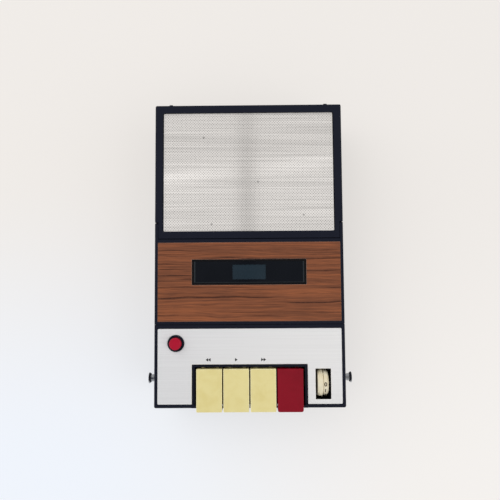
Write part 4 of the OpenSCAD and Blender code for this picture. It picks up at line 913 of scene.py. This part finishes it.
brick = make_brick()
print("a brick has", len(brick.polygons), "faces")

# %% [markdown]
# Laying starts from a grid of points, whose odd rows move half a step. A brick goes on each point, and
# the corners that meet are merged. The sheet is then given its thickness by pushing it up and closing
# the back with a flipped copy. It is laid in two fields, because a mesh this rich is easier to handle
# in parts, and the joint between two rows doesn't show.

# %% Lay the bricks
SHEET_SHIFT = 0.5
JOINT = mm(0.002)
SHEET_SIZES = dict.fromkeys(("Top", "Thickness", "Across", "Back", "Pitch", "Row"), "Float")
SHEET_SIZES.update(dict.fromkeys(("Columns", "Rows", "First"), "Int"))


def lay_bricks(r):
    """The blank on every point of a grid whose odd rows are shifted by half a pitch."""
    grid = r.node("GeometryNodeMeshGrid", None, "Mesh",
                  Size_X=(r["Columns"] - 1) * r["Pitch"], Size_Y=(r["Rows"] - 1) * r["Row"],
                  Vertices_X=r["Columns"], Vertices_Y=r["Rows"])
    odd = (r.node("GeometryNodeInputIndex") % r["Rows"] + r["First"]) % 2.0
    shift = r.node("ShaderNodeCombineXYZ", X=(odd - 0.5) * r["Pitch"] / 2)
    staggered = r.node("GeometryNodeSetPosition", Geometry=grid, Offset=shift)
    laid = r.node("GeometryNodeInstanceOnPoints", Points=staggered, Instance=r["Blank"])
    plain = r.node("GeometryNodeRealizeInstances", Geometry=laid)
    return r.node("GeometryNodeMergeByDistance", Geometry=plain, Distance=JOINT)


def join(r, *parts):
    """Several geometries as one."""
    both = r.node("GeometryNodeJoinGeometry")
    for part in parts:
        r.plug(both.socket.node.inputs[0], part)
    return both


def thicken(r, sheet):
    """A flat sheet made solid and moved to its place."""
    up = r.node("ShaderNodeCombineXYZ", Z=r["Thickness"])
    raised = r.node("GeometryNodeExtrudeMesh", {"mode": "FACES"}, "Mesh",
                    Mesh=sheet, Offset=up, Offset_Scale=1.0, Individual=False)
    back = r.node("GeometryNodeFlipFaces", Mesh=sheet)
    solid = r.node("GeometryNodeMergeByDistance", Geometry=join(r, raised, back), Distance=JOINT)
    where = r.node("ShaderNodeCombineXYZ", X=r["Across"], Y=r["Back"], Z=r["Top"] - r["Thickness"])
    return r.node("GeometryNodeTransform", Geometry=solid, Translation=where)


field = Recipe("punched_field", **SHEET_SIZES)
field.serve(thicken(field, lay_bricks(field)), "grille")

sheet_low, sheet_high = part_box("speaker_grille")
sheet_width, sheet_length, sheet_thickness = sheet_high - sheet_low
sheet_middle = (sheet_low + sheet_high) / 2
columns = int(sheet_width / mm(HOLE_PITCH) - 0.6)
rows = int(sheet_length / mm(ROW_PITCH) - 1)
sheet = {"Top": sheet_high.z, "Thickness": sheet_thickness, "Across": sheet_middle.x - mm(SHEET_SHIFT),
         "Pitch": mm(HOLE_PITCH), "Row": mm(ROW_PITCH), "Columns": columns}
half = rows // 2
for name, first, count in (("grille_field_front", 0, half), ("grille_field_rear", half, rows - half)):
    back = sheet_middle.y + mm(ROW_PITCH) * (first + count / 2 - rows / 2)
    field.make(name, "case", "grille", ("speaker_grille",), brick, **sheet, Back=back, Rows=count,
               First=first)
print(columns * rows, "holes")

# %% [markdown]
# Round the bricks runs a plain border, straight outside and stepped inside, where it follows the
# shifted rows. It needn't be drawn: laid bricks know their own outline, because only there does a
# rim edge belong to one face instead of two. That outline and a rounded rectangle go into Fill
# Curve, which fills what lies between them.

# %% Border of the sheet
def build_border(r):
    faces = r.node("GeometryNodeInputMeshEdgeNeighbors", output="Face Count")
    rim = r.node("GeometryNodeInputNamedAttribute", {"data_type": "BOOLEAN"}, "Attribute", Name="rim")
    steps = r.node("GeometryNodeMeshToCurve", Mesh=lay_bricks(r), Selection=(faces < 1.5) * rim)
    outside = r.node("GeometryNodeCurvePrimitiveQuadrilateral", Width=r["Width"], Height=r["Length"])
    rounded = r.node("GeometryNodeFilletCurve", {"mode": "POLY"}, Curve=outside, Count=4,
                     Radius=r["Corner"])
    filled = r.node("GeometryNodeFillCurve", {"mode": "TRIANGLES"}, Curve=join(r, steps, rounded))
    r.serve(thicken(r, filled), "grille")


border = Recipe("punched_border", Width="Float", Length="Float", Corner="Float", **SHEET_SIZES)
build_border(border)
border.make("grille_border", "case", "grille", ("speaker_grille",), brick, **sheet, Back=sheet_middle.y,
            Rows=rows, First=0, Width=sheet_width, Length=sheet_length, Corner=mm(0.8))

# %% [markdown]
# Studs and wheels are turned shapes: a profile swept round an axis. So each is written as one list
# of stations along its axis, with the radius at each. The strap studs come first. The head of a stud
# is a shallow cup that opens outwards, with a thin lip that keeps the strap's eye from slipping off.

# %% Strap studs
STUD_PROFILE = [(-0.4, 2.4), (0, 3.3), (0.9, 3.3), (1.1, 3.1), (1.1, 2.5), (2.4, 2.5), (2.55, 2.75),
                (3.7, 2.75), (3.85, 2.5), (4.5, 2.5), (4.65, 2.75), (5.5, 2.75), (5.7, 2.4), (6.0, 2.4),
                (6.15, 2.9), (6.4, 3.4), (6.9, 3.85), (7.75, 4.2), (7.85, 4.1), (7.75, 3.95),
                (7.1, 3.5), (6.9, 2.6), (6.8, 1.6), (6.75, 0.1)]


def turned(stations, middle, way=1, sides=96):
    """A closed solid swept round a line along X: stations are (distance along it, radius)."""
    skin = bmesh.new()
    cover(skin, [[middle + Vector((mm(way * along), mm(y), mm(z))) for y, z in ring(radius, sides)]
                 for along, radius in stations])
    return skin


stud_low, stud_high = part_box("strap_studs")
stud_line = (stud_low + stud_high) / 2
for side, way in (("left", -1), ("right", 1)):
    foot = Vector((case_high.x * way, stud_line.y, stud_line.z))
    shade_curves(add_piece(f"strap_stud_{side}", turned(STUD_PROFILE, foot, way, 40), "case", "chrome",
                           "chrome", ("strap_studs",)))
print("two studs turned")

# %% [markdown]
# The volume wheel is two discs on one shaft: a ribbed one for the finger, and a slightly smaller one
# that carries the numbers and slopes away at its edge. The ribs are one small half-round bar, repeated
# round the rim by a second recipe. Its blank is the turned body, so that body and ribs come out as
# one piece. The shaft's end is the black one of the potentiometer.

# %% Volume wheel
wheel_low, wheel_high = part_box("volume_wheel")
WHEEL_LEFT = wheel_low.x / MM
WHEEL_RADIUS = (wheel_high.z - wheel_low.z) / MM / 2
WHEEL_MIDDLE = Vector((0, (wheel_low.y + wheel_high.y) / 2, (wheel_low.z + wheel_high.z) / 2))
RIB_RADIUS = 0.2
RIBS = 64
FINGER_DISC = 3.9
SMOOTH_RIM = 1.2
NUMBER_DISC_START = 4.4
NUMBER_DISC_FLAT = 6.6
WHEEL_WIDTH = 7.8
SHAFT_RADIUS = 1.5
NUMBER_RADIUS = WHEEL_RADIUS - 0.4
rib_base = WHEEL_RADIUS - RIB_RADIUS
rim_slope = 0.8 * (WHEEL_WIDTH - NUMBER_DISC_FLAT)
wheel_body = as_mesh("wheel_body", turned([
    (0, 4.0), (0, rib_base - 0.5), (0.3, rib_base - 0.1), (0.5, rib_base),
    (FINGER_DISC - 0.3, rib_base), (FINGER_DISC, rib_base - 0.3),
    (FINGER_DISC, WHEEL_RADIUS - 1.3), (NUMBER_DISC_START, WHEEL_RADIUS - 1.3),
    (NUMBER_DISC_START, NUMBER_RADIUS - 0.15), (NUMBER_DISC_START + 0.15, NUMBER_RADIUS),
    (NUMBER_DISC_FLAT, NUMBER_RADIUS), (WHEEL_WIDTH - 0.1, NUMBER_RADIUS - rim_slope),
    (WHEEL_WIDTH, NUMBER_RADIUS - rim_slope - 0.1), (WHEEL_WIDTH, SHAFT_RADIUS),
    (wheel_high.x / MM - WHEEL_LEFT, SHAFT_RADIUS)], WHEEL_MIDDLE + Vector((mm(WHEEL_LEFT), 0, 0))))
wheel_body.materials.append(finishes["wheel_ivory"])


def build_ribs(r):
    circle = r.node("GeometryNodeMeshCircle", Vertices=r["Count"], Radius=r["Radius"])
    bar = r.node("GeometryNodeMeshCylinder", None, "Mesh", Vertices=8, Radius=r["Rib"],
                 Depth=r["Length"])
    bars = r.node("GeometryNodeInstanceOnPoints", Points=circle, Instance=bar)
    shift = r.node("ShaderNodeCombineXYZ", X=r["Start"] + r["Length"] / 2)
    turn = r.node("ShaderNodeCombineXYZ", Y=math.pi / 2)
    lying = r.node("GeometryNodeTransform", Geometry=bars, Rotation=turn, Translation=shift)
    placed = r.node("GeometryNodeTransform", Geometry=lying, Translation=r["Middle"])
    plain = r.node("GeometryNodeRealizeInstances", Geometry=placed)
    painted = r.node("GeometryNodeSetMaterial", Geometry=plain, Material=finishes["wheel_ivory"])
    r.serve(join(r, r["Blank"], painted), "wheel_ivory")


ribbed = Recipe("ribbed_rim", Count="Int", Radius="Float", Length="Float", Start="Float", Rib="Float",
                Middle="Vector")
build_ribs(ribbed)
wheel = ribbed.make("ribbed_wheel", "volume", "wheel_ivory", ("volume_wheel",), wheel_body, Count=RIBS,
                    Radius=mm(rib_base), Length=mm(FINGER_DISC - SMOOTH_RIM - 0.4),
                    Start=mm(WHEEL_LEFT + SMOOTH_RIM), Rib=mm(RIB_RADIUS), Middle=tuple(WHEEL_MIDDLE))
shade_curves(wheel)
wheel.data.materials.append(finishes["head_black"])
for polygon in wheel.data.polygons:
    if polygon.center.x > mm(WHEEL_LEFT + WHEEL_WIDTH + 0.01):
        polygon.material_index = len(wheel.data.materials) - 1

# %% [markdown]
# The numbers on the wheel are printed in brown, nought on top when the sound is off, and the others
# follow towards the front, so that they come up one after the other as the finger pushes the wheel
# back. A number starts as flat text. It is sliced across its height and then bent: its height
# becomes an angle round the wheel, which keeps the print on the curve.

# %% Numbers on the wheel
NUMBER_HEIGHT = 2.9
NUMBER_STEP = math.radians(30)
STROKE = 0.12


def flat_number(digit):
    """A digit as a thin solid, centred, with its height along Y."""
    curve = bpy.data.curves.new("digit", "FONT")
    curve.body = str(digit)
    curve.size = mm(NUMBER_HEIGHT / 0.72)
    curve.extrude = mm(PRINT / 2)
    curve.offset = mm(STROKE)
    curve.resolution_u = 4
    drawn = in_scene("digit", curve)
    bpy.context.view_layer.update()
    mesh = bpy.data.meshes.new_from_object(drawn.evaluated_get(bpy.context.evaluated_depsgraph_get()))
    skin = bmesh.new()
    skin.from_mesh(mesh)
    bpy.data.objects.remove(drawn)
    bpy.data.meshes.remove(mesh)
    bmesh.ops.remove_doubles(skin, verts=skin.verts, dist=mm(0.001))
    ends = [(min(v.co[i] for v in skin.verts), max(v.co[i] for v in skin.verts)) for i in (0, 1)]
    middle = Vector([(low + high) / 2 for low, high in ends] + [0])
    bmesh.ops.translate(skin, vec=-middle, verts=skin.verts)
    return skin


def bend_round_wheel(skin, angle):
    """Lays a flat number on the number disc, turned forward by an angle."""
    for cut in range(-3, 4):
        bmesh.ops.bisect_plane(skin, geom=skin.verts[:] + skin.edges[:] + skin.faces[:],
                               plane_co=(0, mm(cut * NUMBER_HEIGHT / 8), 0), plane_no=(0, 1, 0))
    centre = mm(WHEEL_LEFT + (NUMBER_DISC_START + NUMBER_DISC_FLAT) / 2)
    for v in skin.verts:
        round_it = v.co.y / mm(NUMBER_RADIUS) - angle
        out = mm(NUMBER_RADIUS + PRINT / 2) + v.co.z
        v.co = WHEEL_MIDDLE + Vector((centre + v.co.x, out * math.sin(round_it), out * math.cos(round_it)))


numbers = bmesh.new()
for digit in range(10):
    one = flat_number(digit)
    bend_round_wheel(one, digit * NUMBER_STEP)
    part = as_mesh("number", one)
    numbers.from_mesh(part)
    bpy.data.meshes.remove(part)
add_piece("wheel_numbers", numbers, "volume", "number_ink", "wheel_ivory")
print("numbers 0 to 9 printed")

# %% [markdown]
# The window in the lid is a pane of acrylic in a matt black surround. The pane is bevelled at its
# ends and a little along the front, and the bevel has a lighter finish, a painted highlight, which draws a
# thin grey line inside the black. Pane and surround are rings of faces between rounded rectangles, on top,
# at the bottom and at the walls, so both are a list of outlines and their heights.

# %% Window of the lid
SURROUND = 1.05
PANE_BEVEL = 1.1
PANE_DROP = 0.3


def rounded_rectangle(low, high, radius, steps=4):
    """The outline of a rounded rectangle, anticlockwise from its lower right corner."""
    points = []
    corners = (high[0], low[1]), (high[0], high[1]), (low[0], high[1]), (low[0], low[1])
    for corner, (x, y) in enumerate(corners):
        middle = (x - math.copysign(radius, x - (low[0] + high[0]) / 2),
                  y - math.copysign(radius, y - (low[1] + high[1]) / 2))
        for i in range(steps + 1):
            angle = math.radians(90) * (corner - 1 + i / steps)
            points.append((middle[0] + radius * math.cos(angle), middle[1] + radius * math.sin(angle)))
    return points


def plate(name, finish, *levels):
    """A closed ring between outlines: each level is an outline and its height, all the way round."""
    skin = bmesh.new()
    cover(skin, [[(x, y, z) for x, y in outline] for outline, z in levels], capped=False)
    return add_piece(name, skin, "lid", finish, "window_black", ("lid_window",))


def shrunk(low, high, by):
    return (low[0] + mm(by), low[1] + mm(by)), (high[0] - mm(by), high[1] - mm(by))


window_low, window_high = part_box("lid_window")
bottom, top = window_low.z, window_high.z
outer = rounded_rectangle(window_low, window_high, mm(0.5))
inner = rounded_rectangle(*shrunk(window_low, window_high, SURROUND), mm(0.3))
plate("window_surround", "window_border", (outer, bottom), (outer, top), (inner, top), (inner, bottom))

pane_low, pane_high = shrunk(window_low, window_high, SURROUND + 0.02)
pane_outer = rounded_rectangle(pane_low, pane_high, mm(0.3))
pane_face = rounded_rectangle((pane_low[0] + mm(PANE_BEVEL), pane_low[1] + mm(PANE_BEVEL / 2)),
                              (pane_high[0] - mm(PANE_BEVEL), pane_high[1] - mm(0.1)), mm(0.3))
pane_hole = rounded_rectangle(*shrunk(*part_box("lid_port"), -0.04), mm(0.3))
pane = plate("window_pane", ["window_black", "pane_edge"], (pane_outer, bottom),
             (pane_outer, top - mm(PANE_DROP)), (pane_face, top), (pane_hole, top), (pane_hole, bottom))
# the sloping bevel faces get the lighter finish, a painted highlight
for polygon in pane.data.polygons:
    if 0.1 < polygon.normal.z < 0.99:
        polygon.material_index = 1
print("window glazed")

# %% [markdown]
# The studio is a pale floor under a pale sky, with soft lamps at the sides. The sky alone would give
# no direction to the light, and the lamps alone would leave the far side dark, so they share the
# work about equally, and together they light a surface so that its colour shows as it was written.

# %% Studio
FLOOR_SIZE = 40.0
SKY = 0.62
PAPER = paint(240, 236, 232)
# painted light: these tints make the floor bluer towards the front left and lighter towards the front right
PAPER_IN_COOL_LIGHT = paint(241, 246, 254)
SHADED_PAPER = paint(246, 243, 240)
PAPER_GLOW = 0.66
SKY_TONE = paint(238, 237, 236)


def flat_stage(name, width, depth, where, finish):
    """A flat sheet that belongs to the studio and not to the recorder."""
    skin = bmesh.new()
    bmesh.ops.create_grid(skin, x_segments=1, y_segments=1, size=0.5,
                          matrix=Matrix.Translation(where) @ Matrix.Diagonal((width, depth, 1, 1)))
    flat = in_scene(name, as_mesh(name, skin))
    flat.data.materials.append(finish.material)
    return flat


def seen_directly(bench):
    """1 for rays that look straight at the studio, into a mirror of it or through glass at it."""
    path = bench.node("ShaderNodeLightPath", output="Is Camera Ray")
    for name in ("Is Glossy Ray", "Is Transmission Ray"):
        path = path.at_least(bench.node("ShaderNodeLightPath", output=name))
    return path


paper = Finish("floor_paper", PAPER, 0.9, Specular_IOR_Level=0.1)
# painted light: the paper's tone shifts across the floor as the room's light would tint it
to_right = paper.step(paper.axis("X"), -170, 170)
to_back = paper.step(paper.axis("Y"), -190, 90)
paper_tone = paper.mix(paper.mix(PAPER_IN_COOL_LIGHT, SHADED_PAPER, to_right), PAPER, to_back)
paper.vary(Base_Color=paper_tone, Normal=paper.bump(paper.noise(0.6, 4), 0.02))
far_off = paper.step(abs(paper.axis("X")).at_least(abs(paper.axis("Y"))), 500, 3000)
glow = paper.node("ShaderNodeEmission", None, "Emission", Color=paper.mix(paper_tone, SKY_TONE, far_off),
                  Strength=1.0)
glowing = far_off * (1 - PAPER_GLOW) + PAPER_GLOW
lit_paper = paper.node("ShaderNodeMixShader", Fac=seen_directly(paper) * glowing,
                       Shader=Wire(paper, paper.surface.outputs[0]), Shader_001=glow)
paper.plug(paper.end.inputs["Surface"], lit_paper)
flat_stage("floor", FLOOR_SIZE, FLOOR_SIZE, Vector((0, 0, 0)), paper)

world = bpy.data.worlds.new("studio")
bpy.context.scene.world = world
world.use_nodes = True
sky = Bench(world.node_tree)
background = sky.node("ShaderNodeBackground", None, "Background", Color=SKY_TONE,
                      Strength=seen_directly(sky) * (1 - SKY) + SKY)
sky.plug(sky.tree.nodes.new("ShaderNodeOutputWorld").inputs["Surface"], background)


def soft_lamp(name, right, back, up, size, watts):
    """A square lamp that points at the middle of the recorder. Mirrors see the sky in its place."""
    data = bpy.data.lights.new(name, "AREA")
    data.size = size
    data.energy = watts
    lamp = in_scene(name, data)
    lamp.location = (right, back, up)
    lamp.visible_glossy = False
    lamp.rotation_euler = (-lamp.location).to_track_quat("-Z", "Y").to_euler()


soft_lamp("window_light", -1.3, 1.0, 1.7, 3.0, 37)
soft_lamp("fill_light", 1.6, -0.6, 1.6, 1.8, 13.5)
print("studio lit")

# %% [markdown]
# Whoever photographs something shiny from straight above is mirrored in it, a dark shape round the
# lens. That is why the window looks black from up there and why a soft dark band runs down the middle
# of the loudspeaker sheet, with a bright one across it from a lamp on the ceiling. A card above the
# camera does the same. It is there for reflections only, so it neither lights nor shades the recorder
# and doesn't show in the picture. A mirror ray comes back as far behind a point as the camera is
# before it, so what shows over the sheet lies far to the back on the card.

# %% Card above the camera
CARD_BAND = 155
CARD_BAND_SLOPE = 0.1
card = Finish("dark_card", paint(30, 30, 32), 1.0)
across, along = card.axis("X"), card.axis("Y")
from_middle = abs(across + 7)
over_lid = card.step(along, -90, -50) * (1 - card.step(along, 25, 60))
in_front = 1 - card.step(along, -90, -40)
lens = 1 - card.step(from_middle, 2, 22)
over_sheet = card.mix(paint(216, 216, 216), paint(184, 184, 184), card.step(along, 120, 190))
over_panel = card.mix(paint(112, 119, 136), paint(255, 250, 240), card.step(across, -170, 90))
over_panel = card.mix(over_panel, paint(62, 68, 82), (1 - card.step(along, -260, -80)) * 0.75)
plain = card.mix(card.mix(over_sheet, over_panel, in_front), paint(92, 94, 98), over_lid)
card_tone = card.mix(plain, paint(12, 12, 14), lens * (1 - in_front) * 0.9)
band = 1 - card.step(abs(along - across * CARD_BAND_SLOPE - CARD_BAND), 3, 13)
tube = band * (card.step(from_middle, 10, 100) * 0.7 + 0.5)
card_light = card.node("ShaderNodeEmission", None, "Emission", Color=card_tone, Strength=tube + 1)
card.plug(card.end.inputs["Surface"], card_light)
card_piece = flat_stage("dark_card", 0.56, 0.9, camera.location + Vector((0, 0, 0.02)), card)
for ray in ("visible_camera", "visible_diffuse", "visible_transmission", "visible_shadow"):
    setattr(card_piece, ray, False)
print("card hung")

# %% [markdown]
# Last, the picture is shown as it is, with no film look on top.

# %% Finish
bpy.context.scene.view_settings.view_transform = "Standard"
